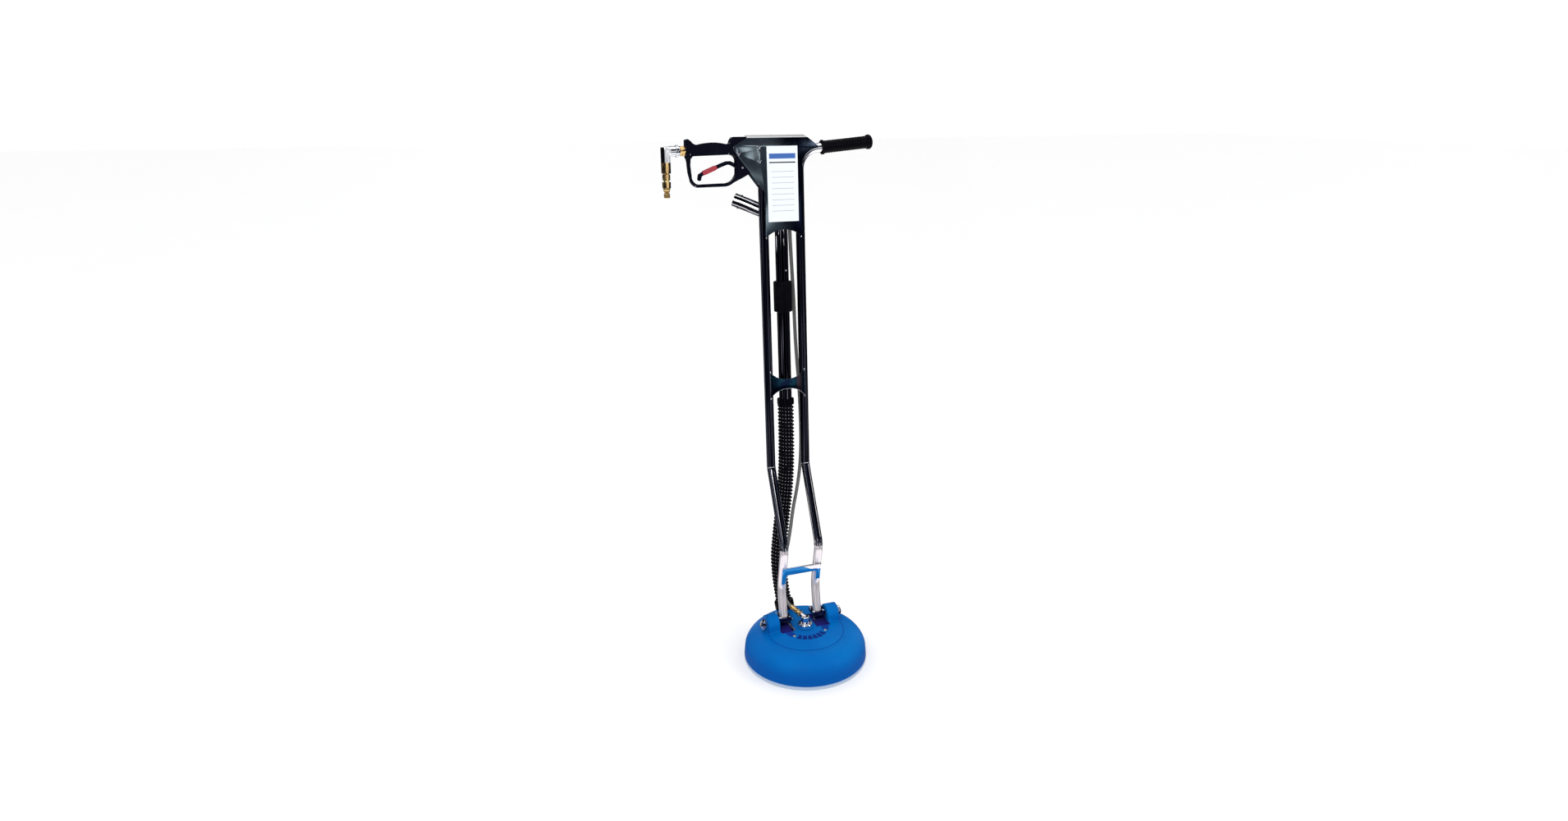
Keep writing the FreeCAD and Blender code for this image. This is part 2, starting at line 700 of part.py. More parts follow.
def gun_half(side):
    """One moulded half of the gun. The halves meet in the middle plane."""
    outer, finger = gun_outline()
    body = slab(outer, 0, GUARD_HALF)
    thick_grip = slab(outer, 0, GRIP_HALF).common(block((-232, -122), (-1, 30), (764, 820)))
    thick_block = slab(outer, 0, BLOCK_HALF).common(block((-124, -40), (-1, 30), (716, 820)))
    body = body.fuse(soft_edges(thick_grip, 6.0)).fuse(thick_block)
    body = body.cut(slab(finger, -1, 30))
    body = body.cut(block((-125, -84), (-1, 4.5), (728, 770)))
    body = body.cut(rod(6.3, V(-240, 0, WATER_HEIGHT), V(-80, 0, WATER_HEIGHT)))
    body = body.cut(block((-84.5, -40), (-1, 8.3), (751, 790)))
    body = body.cut(rod(2.55, trigger_axis(-5), trigger_axis(30)))
    for x, height, _ in gun_screw_places():
        body = body.cut(rod(1.6, V(x, -5, height), V(x, 30, height)))
    body = cut_screw_holes(body)
    if side < 0:
        body = body.mirror(V(0, 0, 0), V(0, 1, 0))
    return body


def soft_edges(shape, radius):
    """Rounds the long outer edges of a moulded half."""
    far = shape.BoundBox.YMax
    edges = [e for e in shape.Edges if e.BoundBox.YMin > far - 0.01]
    try:
        return shape.makeFillet(radius, edges)
    except Part.OCCError:
        return shape


def gun_screw_places():
    """Each screw's X and height, and how thick the moulded half is there."""
    return [
        (-222.5, 773.5, GRIP_HALF), (-131, 773.5, GRIP_HALF),
        (-212, 702.8, GUARD_HALF), (-98, 800, BLOCK_HALF),
    ]


def gun_screws():
    parts = []
    for x, height, half in gun_screw_places():
        parts.append(rod(1.5, V(x, -half + 1, height), V(x, half - 1, height)))
    return upper(Part.makeCompound(parts))


def valve_body():
    """Brass valve block in the gun with its feed pipe through the hand grip."""
    body = block((-83.5, -48), (-8, 8), (752, 789))
    body = body.fuse(rod(6.0, V(-231, 0, WATER_HEIGHT), V(-83.5, 0, WATER_HEIGHT)))
    body = body.cut(rod(3.5, V(-232, 0, WATER_HEIGHT), V(-45, 0, WATER_HEIGHT)))
    body = body.cut(rod(2.05, V(-90, 0, PIN_HEIGHT), V(-60, 0, PIN_HEIGHT)))
    body = body.cut(rod(4.0, V(-68, 0, PIN_HEIGHT), V(-52, 0, PIN_HEIGHT)))
    return upper(cut_screw_holes(body).removeSplitter())


def outlet_pipe():
    """Steel pipe from the valve, over the left tube and down to the solution hose."""
    points = [V(-47.9, 0, WATER_HEIGHT), V(20, 0, WATER_HEIGHT), V(20, 0, 706)]
    pipe = bent_tube(points, [16], 6.0, 3.4)
    nut = hexagon(15, V(20, 0, 690), V(20, 0, 706)).cut(rod(3.4, V(20, 0, 689), V(20, 0, 707)))
    return upper(pipe.fuse(nut).removeSplitter())


def trigger_axis(back):
    """A point on the trigger's pin, in the leaning frame."""
    return V(TRIGGER_PIVOT[0], back, TRIGGER_PIVOT[1])


def trigger_points():
    return [TRIGGER_PIVOT, (-109, 743.5), (-117.5, 749), (-126, 753), (-135, 752.8),
            (-146, 749), (-159.5, 743.8), (-191.7, 730.8), (-199, 726.5), (-200.6, 718.5)]


def trigger_lever():
    points = trigger_points()
    lever = strip(points[:7], 8.6, 4).fuse(strip(points[6:8], 5.4, 4)).fuse(strip(points[7:], 8.6, 4))
    lever = lever.fuse(rod(7, trigger_axis(-4), trigger_axis(4)))
    lever = lever.fuse(block((-101.2, -93.0), (-4, 4), (741.3, 766)))
    return lever.cut(rod(2.55, trigger_axis(-5), trigger_axis(5))).removeSplitter()


def trigger_pad(lever):
    return strip([(-163, 742.4), (-188, 732.3)], 10.6, 5.2).cut(lever)


def make_gun():
    keep("gun_shell_front", upper(gun_half(-1)))
    keep("gun_shell_rear", upper(gun_half(1)))
    keep("gun_screws", gun_screws())
    keep("valve_body", valve_body())
    keep("outlet_pipe", outlet_pipe())
    tip = Part.makeCone(0.8, 2.0, 1.5, V(-92.7, 0, PIN_HEIGHT), V(1, 0, 0))
    pin = tip.fuse(rod(2.0, V(-91.2, 0, PIN_HEIGHT), V(-66, 0, PIN_HEIGHT)))
    keep("valve_pin", upper(pin.removeSplitter()))
    spring = ring(3.6, 2.3, V(-65.6, 0, PIN_HEIGHT), V(-52.4, 0, PIN_HEIGHT))
    keep("valve_spring", upper(spring))
    keep("trigger_pin", upper(rod(2.5, trigger_axis(-BLOCK_HALF - 0.6), trigger_axis(BLOCK_HALF + 0.6))))
    lever = trigger_lever()
    keep("trigger_lever", upper(lever))
    keep("trigger_pad", upper(trigger_pad(lever)))


# ---------------------------------------------------------------- water inlet


def make_inlet():
    """Nut and swivel in line with the hand grip, then the parts that hang from the swivel."""
    start = upper_point(-231.2, 0, WATER_HEIGHT)

    def at(x):
        return V(x, start.y, start.z)

    nut = hexagon(21.5, at(-244.2), at(-231.3))
    keep("inlet_nut", nut.cut(rod(3.5, at(-245), at(-230))))
    swivel = rod(11, at(-248), at(-244.3)).fuse(rod(13.4, at(-253.6), at(-248)))
    keep("swivel_nut", swivel.cut(rod(5.05, at(-255), at(-243))).removeSplitter())
    joint = ring(11.4, 3, at(-266), at(-253.9)).fuse(ring(5.0, 3, at(-254), at(-245)))
    keep("swivel_joint", joint.removeSplitter())

    def below(z):
        return V(INLET_X, start.y, z)

    elbow = rod(11, below(1240), below(1273.5)).fuse(rod(11, at(INLET_X), at(-266.05)))
    elbow = elbow.cut(rod(3, at(INLET_X), at(-260))).cut(rod(3, below(1235), below(1266)))
    keep("swivel_elbow", elbow.removeSplitter())
    upper_adapter = hexagon(20, below(1216), below(1239.95)).fuse(rod(7.2, below(1213.5), below(1216)))
    upper_adapter = upper_adapter.fuse(hexagon(16.5, below(1201), below(1213.5)))
    upper_adapter = upper_adapter.cut(rod(3, below(1200), below(1241)))
    keep("upper_adapter", upper_adapter.removeSplitter())
    lower_adapter = rod(6.4, below(1197), below(1200.95)).fuse(hexagon(18, below(1183.5), below(1197)))
    lower_adapter = lower_adapter.cut(rod(3, below(1180), below(1202)))
    keep("lower_adapter", lower_adapter.removeSplitter())
    plug = turned([(3, 1161), (6.2, 1161), (7, 1162), (7, 1170), (5.6, 1171.5), (5.6, 1173.5), (7, 1175),
                   (7, 1177.5), (8.4, 1180), (8.4, 1183.45), (3, 1183.45)])
    plug.translate(V(INLET_X, start.y, 0))
    keep("quick_plug", plug)


# ---------------------------------------------------------------- hoses


def hose(name, points, radius, bore=0):
    """A plain round hose on straight runs joined by the largest tangent arcs that fit."""
    radii = []
    for before, corner, after in zip(points, points[1:], points[2:]):
        come = corner - before
        go = after - corner
        half = come.getAngle(go) / 2
        radii.append(0.45 * min(come.Length, go.Length) / math.tan(half))
    path = rounded_path(points, radii)
    tube = swept(path, radius)
    if bore:
        tube = tube.cut(swept(path, bore))
    expected = math.pi * (radius * radius - bore * bore) * path.Length
    print(name, "length", round(path.Length, 1), "radii", [round(r) for r in radii],
          "volume ratio", round(tube.Volume / expected, 4))
    keep(name, tube)


def make_hoses():
    top = upper_point(0, PIPE_BACK, 160)
    hose("vacuum_hose", [
        top,
        upper_point(0, PIPE_BACK, 46),
        V(-4, 138, 420),
        V(-20, 131, 310),
        HOSE_ABOVE_PORT,
        PORT,
    ], VACUUM_HOSE_RADIUS, VACUUM_HOSE_BORE)
    hose("solution_hose", [
        FITTING_START + FITTING_AIM * 49.05,
        V(-31.7, 48.7, 132.4),
        V(-34.5, 66, 146),
        V(-31.5, 84, 178),
        V(-20, 98, 236),
        V(-2, 110, 298),
        V(14, 131, 356),
        V(31, 143, 414),
        V(42, 151, 474),
        V(47, 160, 540),
        V(47, 166, 610),
        V(45, 171, 680),
        V(40, 175, 750),
        V(36, 178, 820),
        V(34, 181, 890),
        V(31, 185, 960),
        V(28, 189, 1025),
        V(24, 188, 1090),
        upper_point(20, 0, 655),
        upper_point(20, 0, 689.95),
    ], SOLUTION_HOSE_RADIUS)


os.makedirs("parts", exist_ok=True)
make_head()
make_rotor()
make_hinge()
make_frame()
make_vacuum_pipe()
make_gun()
make_inlet()
make_hoses()
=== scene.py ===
"""Looks of the upright surface cleaner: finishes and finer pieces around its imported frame."""

import json
import math

import bmesh
import bpy
from mathutils import Matrix, Vector


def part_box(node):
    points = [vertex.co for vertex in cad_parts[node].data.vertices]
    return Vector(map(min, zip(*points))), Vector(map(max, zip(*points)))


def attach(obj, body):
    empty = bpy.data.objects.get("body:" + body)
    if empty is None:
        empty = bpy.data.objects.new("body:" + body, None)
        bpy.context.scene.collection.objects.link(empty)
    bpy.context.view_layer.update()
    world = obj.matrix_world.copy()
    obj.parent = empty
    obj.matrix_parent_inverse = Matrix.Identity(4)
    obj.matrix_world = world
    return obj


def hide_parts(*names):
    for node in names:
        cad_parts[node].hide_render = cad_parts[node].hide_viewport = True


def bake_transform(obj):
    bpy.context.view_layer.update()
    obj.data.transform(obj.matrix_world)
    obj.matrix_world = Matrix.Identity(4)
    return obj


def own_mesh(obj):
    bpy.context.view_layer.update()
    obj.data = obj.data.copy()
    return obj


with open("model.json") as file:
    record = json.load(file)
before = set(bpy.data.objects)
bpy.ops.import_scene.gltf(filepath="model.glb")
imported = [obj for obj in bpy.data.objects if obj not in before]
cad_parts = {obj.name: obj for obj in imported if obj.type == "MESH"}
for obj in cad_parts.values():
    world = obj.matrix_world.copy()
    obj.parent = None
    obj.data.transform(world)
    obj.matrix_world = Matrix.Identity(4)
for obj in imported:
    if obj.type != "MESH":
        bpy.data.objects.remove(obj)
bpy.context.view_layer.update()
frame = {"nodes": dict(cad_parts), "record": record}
nodes = frame["nodes"]
scene = bpy.context.scene
scene.view_settings.view_transform = "Standard"
MM = 0.001

# ---------------------------------------------------------------- the leaning part of the frame

LEAN = math.atan(0.075)
BEND = Vector((0, 0.128, 0.4853))
TUBE_X = 46.7
TUBE_FOOT = 0.1055
TUBE_KNEE = 0.298
TUBE_LINE = ((0.0367, TUBE_FOOT), (0.052, 0.178), (0.029, TUBE_KNEE), (BEND.y, BEND.z), (0.1893, 1.300))
PIPE_BACK = 8
UPPER = Matrix.Translation(BEND) @ Matrix.Rotation(-LEAN, 4, "X")


def upper_point(x, back, height):
    """A point of the leaning frame, given in millimetres, in the row frame."""
    return UPPER @ (Vector((x, back, height)) * MM)


PIPE_TURN = upper_point(0, PIPE_BACK, 621.4)
PIPE_END = upper_point(-100.4, 59.8, 667.9)
OUTLET_SLOPE = (PIPE_END.z - PIPE_TURN.z) / (PIPE_TURN.x - PIPE_END.x)


def along(start, aim):
    """A place whose Z axis runs from start along aim."""
    return Matrix.Translation(start) @ Vector(aim).to_track_quat("Z", "Y").to_matrix().to_4x4()


# ---------------------------------------------------------------- camera

CAMERA_PLACE = (-0.7837, -1.9766, 1.3809)
CAMERA_PITCH = math.radians(18.439)
CAMERA_YAW = math.radians(20.143)


def make_camera():
    """A wide view from the front left, looking down on the machine."""
    data = bpy.data.cameras.new("camera")
    data.sensor_width = 36
    data.lens = 21.558
    data.clip_start = 0.05
    camera = bpy.data.objects.new("camera", data)
    camera.location = CAMERA_PLACE
    camera.rotation_euler = (math.pi / 2 - CAMERA_PITCH, 0, -CAMERA_YAW)
    scene.collection.objects.link(camera)
    scene.camera = camera


# ---------------------------------------------------------------- shader tools


class Value:
    """A socket inside a shader. Arithmetic on it adds Math nodes."""

    def __init__(self, shader, socket):
        self.shader = shader
        self.socket = socket

    def math(self, operation, *others):
        return self.shader.node("Math", {"operation": operation}, self, *others)

    def __add__(self, other):
        return self.math("ADD", other)

    def __sub__(self, other):
        return self.math("SUBTRACT", other)

    def __rsub__(self, other):
        return self.shader.node("Math", {"operation": "SUBTRACT"}, other, self)

    def __mul__(self, other):
        return self.math("MULTIPLY", other)

    def __pow__(self, other):
        return self.math("POWER", other)

    __radd__ = __add__
    __rmul__ = __mul__


class Shader:
    """A node tree being written."""

    def __init__(self, tree):
        self.tree = tree
        tree.nodes.clear()

    def node(self, kind, settings=None, *inputs, output=0, **named):
        """Adds a node: its settings first, then its sockets by order or by name."""
        made = self.tree.nodes.new("ShaderNode" + kind)
        for key, value in (settings or {}).items():
            setattr(made, key, value)
        sockets = list(enumerate(inputs)) + [(k.replace("_", " "), v) for k, v in named.items()]
        for key, value in sockets:
            if isinstance(value, Value):
                self.tree.links.new(value.socket, made.inputs[key])
            elif made.inputs[key].type == "RGBA":
                made.inputs[key].default_value = (*value, 1)
            else:
                made.inputs[key].default_value = value
        return Value(self, made.outputs[output]) if made.outputs else None

    def place(self, output="Object"):
        return self.node("TexCoord", output=output)

    def parts(self, vector):
        return [self.node("SeparateXYZ", None, vector, output=i) for i in range(3)]

    def vector(self, x, y, z):
        return self.node("CombineXYZ", None, x, y, z)

    def stretched(self, x, y, z):
        """The piece's own place, scaled along each axis."""
        return self.node("Mapping", None, Vector=self.place(), Scale=(x, y, z))

    def noise(self, scale, detail=3.0, rough=0.5, place=None):
        return self.node("TexNoise", None, Vector=place or self.place(), Scale=scale,
                         Detail=detail, Roughness=rough)

    def step(self, value, low, high):
        """0 below low and 1 above high, with a smooth change between."""
        return self.node("MapRange", {"interpolation_type": "SMOOTHSTEP"}, value, low, high, 0.0, 1.0)

    def between(self, value, low, high, soft):
        return self.step(value, low - soft, low + soft) * (1 - self.step(value, high - soft, high + soft))

    def blend(self, a, b, share):
        """Colour a where share is 0, b where it is 1."""
        made = self.tree.nodes.new("ShaderNodeMix")
        made.data_type = "RGBA"
        for index, value in ((0, share), (6, a), (7, b)):
            if isinstance(value, Value):
                self.tree.links.new(value.socket, made.inputs[index])
            else:
                made.inputs[index].default_value = value if index == 0 else (*value, 1)
        return Value(self, made.outputs[2])

    def bump(self, height, distance, strength):
        return self.node("Bump", None, Strength=strength, Distance=distance, Height=height)

    def surface(self, **sockets):
        """The shader's end: one Principled BSDF with these sockets, words joined by underscores."""
        end = self.node("BsdfPrincipled", None, **sockets)
        self.node("OutputMaterial", None, end)


def finish(name, recipe):
    material = bpy.data.materials.new(name)
    material.use_nodes = True
    recipe(Shader(material.node_tree))
    return material


# ---------------------------------------------------------------- finishes

HOSE_GLINT_ROWS = 17
ELBOW_LEG = 0.0150
THREADS_AROUND = 12.0
THREADS_ALONG = 330.0
STEP_RADIUS = 0.098
POCKET_PITCH = 15.0
POCKET_START = -135.0
POCKET_END = -45.0
LABEL_LINE_HALF = 0.0280
LABEL_BAND_HALF = 0.0330
LABEL_LINES = 8
LABEL_LINE_PITCH = 0.0130


def from_axis(x, y):
    """Distance from the head's upright axis."""
    return (x * x + y * y) ** 0.5


def up_frame(y, z):
    """Height up the leaning part of the frame, from its bend."""
    return (y - BEND.y) * math.sin(LEAN) + (z - BEND.z) * math.cos(LEAN)


def blue_shell(s):
    """Satin blue casting, scuffed at random. Painted shade darkens its wells, pockets, step line and lower
    sides, and a painted shadow reaches from the wells towards the front.
    """
    x, y, z = s.parts(s.place())
    radius = from_axis(x, y)
    around = y.math("ARCTAN2", x) * math.degrees(1)
    cloud = s.noise(7.0, 4.0)
    deck = s.step(z, 0.0775, 0.0790)
    # Painted shade: the wells are painted dark purple-blue, as shade falls in them.
    well_shade = s.between(x.math("ABSOLUTE"), 0.0275, 0.0675, 0.001) * s.between(y, -0.0095, 0.0595, 0.001)
    well_shade = well_shade * (1 - s.step(z, 0.079, 0.0845)) * s.step(z, 0.066, 0.069)
    # Painted shade: the pockets between the ribs are painted near black-blue.
    between_ribs = s.between((around - POCKET_START).math("MODULO", POCKET_PITCH), 1.6, 13.4, 0.5)
    between_ribs = between_ribs * s.between(around, POCKET_START + 0.1, POCKET_END - 0.1, 0.1)
    pocket_shade = s.between(radius, 0.0420, 0.0600, 0.0006) * between_ribs * s.step(z, 0.0755, 0.0770)
    # Painted shadow: a dark band reaching from the wells round the deck towards the front.
    shade = s.between(radius, 0.0415, 0.0610, 0.0025) * (1 - s.between(around, -146.0, -34.0, 6.0))
    shade = shade * (1 - s.step(y, -0.012, -0.004)) * deck
    # Painted shade along the crease of the step.
    line = s.between(radius, STEP_RADIUS - 0.0008, STEP_RADIUS + 0.0012, 0.0005) * s.step(z, 0.068, 0.070)
    # Painted shade: the lower sides are painted darker than the deck.
    side = 1 - s.step(z, 0.026, 0.071)
    base = s.blend((0.0, 0.115, 0.420), (0.0, 0.145, 0.470), s.step(cloud, 0.35, 0.7))
    base = s.blend(base, (0.0, 0.074, 0.330), side * 0.9)
    base = s.blend(base, (0.0, 0.045, 0.240), line * 0.8)
    base = s.blend(base, (0.006, 0.026, 0.235), shade * 0.85)
    base = s.blend(base, (0.004, 0.014, 0.165), pocket_shade * 0.9)
    base = s.blend(base, (0.026, 0.014, 0.200), well_shade * 0.92)
    scuff = s.step(s.noise(160.0, 5.0, 0.7), 0.68, 0.82)
    base = s.blend(base, (0.02, 0.22, 0.58), scuff * 0.2)
    rings = (radius * 1400.0).math("SINE") * s.between(radius, 0.064, 0.094, 0.003)
    peel = s.noise(420.0, 2.0) + rings * 0.35
    s.surface(Base_Color=base, Roughness=0.36 + cloud * 0.1 + scuff * 0.12,
              Specular_IOR_Level=0.04, Normal=s.bump(peel, 0.00010, 0.5))


def white_ring(s):
    """Slippery pale blue-grey plastic, with painted blue shade high up under the housing's rim, rub marks
    around it and dirt low down.
    """
    x, y, z = s.parts(s.place())
    radius = from_axis(x, y)
    around = y.math("ARCTAN2", x)
    rub = s.noise(1.0, 4.0, 0.6, s.vector(radius * 1800.0, around * 6.0, z * 900.0))
    dirt = s.step(s.noise(45.0, 5.0, 0.65), 0.5, 0.75) * (1 - s.step(z, 0.001, 0.009))
    base = s.blend((0.42, 0.51, 0.66), (0.36, 0.45, 0.60), rub)
    # Painted shade: the top of the ring, under the housing's rim, is painted darker and bluer.
    base = s.blend(base, (0.20, 0.33, 0.58), s.step(z, 0.0060, 0.0100) * 0.55)
    base = s.blend(base, (0.40, 0.41, 0.43), dirt * 0.5)
    s.surface(Base_Color=base, Roughness=0.32 + rub * 0.2, Normal=s.bump(rub, 0.00008, 0.4))


def bristles(s):
    """Pale nylon strands, greyer towards the floor."""
    z = s.parts(s.place())[2]
    strand = s.noise(1.0, 3.0, 0.7, s.stretched(2500.0, 2500.0, 60.0))
    grey = (1 - s.step(z, 0.0, 0.012)) * 0.5 + strand * 0.3
    base = s.blend((0.72, 0.74, 0.76), (0.38, 0.39, 0.41), grey)
    s.surface(Base_Color=base, Roughness=0.45 + strand * 0.2, Normal=s.bump(strand, 0.0002, 0.6))


def metal(s, light, dark, rough, scale):
    """Bare metal: patches of two tones with a drifting gloss."""
    marks = s.noise(scale, 4.0, 0.6)
    smudge = s.noise(26.0, 3.0)
    base = s.blend(dark, light, s.step(marks, 0.30, 0.66))
    s.surface(Base_Color=base, Metallic=1.0, Roughness=rough * 0.6 + smudge * rough * 0.8,
              Normal=s.bump(marks, 0.00003, 0.35))


def knob_chrome(s):
    """Cast clamp knob, chromed, with painted reflections: a noise pattern of white glints and near-black
    patches.
    """
    reflection_noise = s.noise(95.0, 1.0, 0.4)
    # Painted reflection: noise splits the knob's colour into white glints and near black.
    painted_glint = s.step(reflection_noise, 0.46, 0.52)
    base = s.blend((0.010, 0.010, 0.035), (0.97, 0.98, 1.0), painted_glint)
    s.surface(Base_Color=base, Metallic=painted_glint * 0.45 + 0.4, Roughness=0.08 + reflection_noise * 0.06,
              Normal=s.bump(reflection_noise, 0.0002, 0.4))


def elbow_chrome(s):
    """Chromed elbow with a painted reflection: its upright leg is painted nearly black on the outer side and
    bright on the inner one.
    """
    x = s.parts(s.place())[0]
    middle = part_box("swivel_elbow")[0][0] + ELBOW_LEG / 2
    # Painted reflection: the outer side of the upright leg is dark, the inner side bright.
    outer = 1 - s.step(x, middle - 0.0012, middle + 0.0004)
    ripple = s.noise(120.0, 2.0)
    base = s.blend((0.96, 0.97, 0.99), (0.012, 0.012, 0.016), outer)
    s.surface(Base_Color=base, Metallic=0.55 + outer * 0.4, Roughness=0.06 + ripple * 0.06,
              Normal=s.bump(ripple, 0.00003, 0.3))


def turned_aluminium(s):
    """Machined aluminium with fine turning marks around the head's axis."""
    x, y, z = s.parts(s.place())
    radius = from_axis(x, y)
    lathe = s.noise(1.0, 2.0, 0.5, s.vector(radius * 3000.0, z * 3000.0, 0.0))
    base = s.blend((0.60, 0.61, 0.64), (0.80, 0.81, 0.83), lathe)
    s.surface(Base_Color=base, Metallic=1.0, Roughness=0.22 + lathe * 0.14,
              Normal=s.bump(lathe, 0.00005, 0.5))


def chrome(s):
    metal(s, (0.95, 0.96, 0.98), (0.80, 0.82, 0.87), 0.06, 40.0)


def tube_middle(s, z):
    """How far back the frame tubes' middle line stands at a height."""
    back = TUBE_LINE[0][0]
    for (start, low), (end, high) in zip(TUBE_LINE, TUBE_LINE[1:]):
        back = s.node("MapRange", None, z, low, high, 0.0, end - start) + back
    return back


def polished_steel(s):
    """Frame tube with painted reflections: streaked lengthwise, dark above its bend, bright below it, pale
    under its knee, dark on its bottom plate and bright where it turns towards the grip.
    """
    x, y, z = s.parts(s.place())
    across = (x.math("ABSOLUTE") - TUBE_X * MM) * 90.0
    deep = (y - tube_middle(s, z)) * 90.0
    reflection_streak = s.noise(1.7, 3.0, 0.55, s.vector(across, deep, z * 1.2))
    fine = s.noise(4.6, 1.0, 0.5, s.vector(across, deep, z * 0.25))
    reflection_lines = s.noise(5.5, 1.0, 0.5, s.vector(across + 4.0, deep, z * 0.20))
    smudge = s.noise(30.0, 4.0, 0.6)
    # Painted reflections: above the bend near black with grey-blue streaks, below it black with white
    # streaks.
    dark = s.blend((0.006, 0.006, 0.016), (0.12, 0.12, 0.17), s.step(reflection_streak, 0.44, 0.62) * 0.7)
    dark = s.blend(dark, (0.30, 0.33, 0.42), s.step(reflection_lines, 0.60, 0.66) * 0.8)
    bright = s.blend((0.010, 0.012, 0.030), (0.24, 0.26, 0.34), s.step(reflection_lines, 0.48, 0.54) * 0.85)
    bright = s.blend(bright, (0.97, 0.98, 1.0), s.step(fine, 0.545, 0.585))
    base = s.blend(bright, dark, s.step(z, BEND.z - 0.0018, BEND.z + 0.0012))
    # Painted reflection: pale pinkish white under the knee.
    shin_reflection = 1 - s.step(z, TUBE_KNEE - 0.0040, TUBE_KNEE + 0.0005)
    base = s.blend(base, s.blend((0.90, 0.85, 0.87), (0.78, 0.72, 0.75), reflection_streak), shin_reflection)
    # Painted reflection: the bottom plate is painted dark.
    foot_reflection = 1 - s.step(z, TUBE_FOOT - 0.0001, TUBE_FOOT + 0.0005)
    base = s.blend(base, (0.030, 0.024, 0.070), foot_reflection)
    # Painted highlight where the tube turns towards the grip.
    turn = s.step(x, 0.054, 0.062) * s.step(z, 1.20, 1.22)
    base = s.blend(base, (0.90, 0.91, 0.94), turn)
    s.surface(Base_Color=base, Metallic=1 - shin_reflection * (1 - foot_reflection) * 0.45, Roughness=0.07 + smudge * 0.10,
              Normal=s.bump(reflection_streak, 0.00004, 0.3))


def vacuum_pipe(s):
    """Chromed pipe with painted reflections: nearly black with grey streaks along the frame, bright in
    patches at its bend, and banded bright and dark at the outlet.
    """
    x, _, z = s.parts(s.place())
    across = x * 62.0
    reflection_streak = s.noise(1.8, 2.0, 0.5, s.vector(across, z * 1.5, 3.0))
    wave = s.noise(1.5, 2.0, 0.5, s.vector(across + s.noise(9.0, 2.0) * 0.8, z * 14.0, 7.0))
    # Painted reflection: near black with grey streaks along the pipe.
    base = s.blend((0.010, 0.010, 0.018), (0.26, 0.24, 0.29), s.step(reflection_streak, 0.54, 0.64) * 0.8)
    # Painted reflection: bright wavy patches at the bend.
    bend = s.step(z, 1.020, 1.050)
    base = s.blend(base, (0.90, 0.92, 0.96), s.step(wave, 0.52, 0.58) * bend)
    rise = (z - PIPE_TURN.z) + x * OUTLET_SLOPE
    ripple = s.noise(30.0, 2.0) * 0.006
    level = rise + ripple
    # Painted reflection: bright and dark rings round the outlet, along its slope.
    reflection_bands = s.between(level, -0.0010, 0.0045, 0.0006)
    reflection_bands = reflection_bands.math("MAXIMUM", s.between(level, 0.0125, 0.0150, 0.0006))
    reflection_bands = reflection_bands.math("MAXIMUM", s.between(level, -0.0105, -0.0088, 0.0005) * 0.7)
    outlet = 1 - s.step(x, -0.030, -0.018)
    base = s.blend(base, s.blend((0.012, 0.012, 0.020), (0.95, 0.95, 0.98), reflection_bands), outlet)
    marks = s.noise(40.0, 4.0, 0.6)
    s.surface(Base_Color=base, Metallic=1 - outlet * reflection_bands * 0.5, Roughness=0.05 + marks * 0.06,
              Normal=s.bump(marks, 0.00002, 0.2))


def painted_edge_glint(s, base):
    """A painted highlight: the edge faces that softened() marks are painted bright."""
    return s.blend(base, (0.92, 0.94, 0.98), s.node("Attribute", {"attribute_name": "edge"}, output=2))


def polished_plate(s):
    """Mirror sheet with painted reflections: clouded teal-grey towards the gun, near black towards the grip,
    with pale glare and white on its fold.
    """
    x, y, z = s.parts(s.place())
    height = up_frame(y, z)
    cloud = s.noise(13.0, 5.0, 0.6, s.stretched(1.0, 1.0, 0.7))
    fine = s.noise(900.0, 2.0, 0.5, s.stretched(0.05, 1.0, 1.0))
    # Painted reflections: a teal-grey to near black sweep, pale glare, a darker corner and a greyer lower
    # part.
    slope = x * 9.0 - (height - 0.70) * 1.2 + (cloud - 0.5) * 1.3
    base = s.blend((0.40, 0.52, 0.57), (0.010, 0.016, 0.042), s.step(slope, -0.45, 0.22))
    glare_patch = s.step(cloud, 0.50, 0.66) * (1 - s.step(x, -0.045, 0.01))
    base = s.blend(base, (0.72, 0.86, 0.92), glare_patch * 0.55)
    corner = s.step(x, 0.035, 0.060) * s.step(height, 0.745, 0.775)
    base = s.blend(base, (0.11, 0.15, 0.22), corner * s.step(cloud, 0.40, 0.60))
    lower = (1 - s.step(height, 0.596, 0.620)) * (1 - s.step(x, -0.01, 0.03))
    base = s.blend(base, (0.20, 0.28, 0.34), lower)
    # Painted reflection: the fold is painted white.
    fold = s.step(height, 0.8076, 0.8086)
    base = painted_edge_glint(s, s.blend(base, (0.95, 0.96, 0.98), fold))
    s.surface(Base_Color=base, Metallic=1 - fold * 0.7, Roughness=0.13 + cloud * 0.10,
              Normal=s.bump(fine, 0.00002, 0.25))


def painted_brace_reflection(s):
    """Middle brace with painted reflections: deep navy clouded with teal, browner to the right, and painted
    highlights on its edges.
    """
    x = s.parts(s.place())[0]
    cloud = s.noise(26.0, 4.0, 0.6)
    base = s.blend((0.010, 0.020, 0.060), (0.015, 0.090, 0.140), s.step(cloud, 0.42, 0.64))
    # Painted reflection: a browner band to the right.
    base = s.blend(base, (0.28, 0.16, 0.18), s.between(x, 0.026, 0.037, 0.006) * 0.7)
    s.surface(Base_Color=painted_edge_glint(s, base), Metallic=1.0, Roughness=0.14 + cloud * 0.08,
              Normal=s.bump(cloud, 0.00003, 0.2))


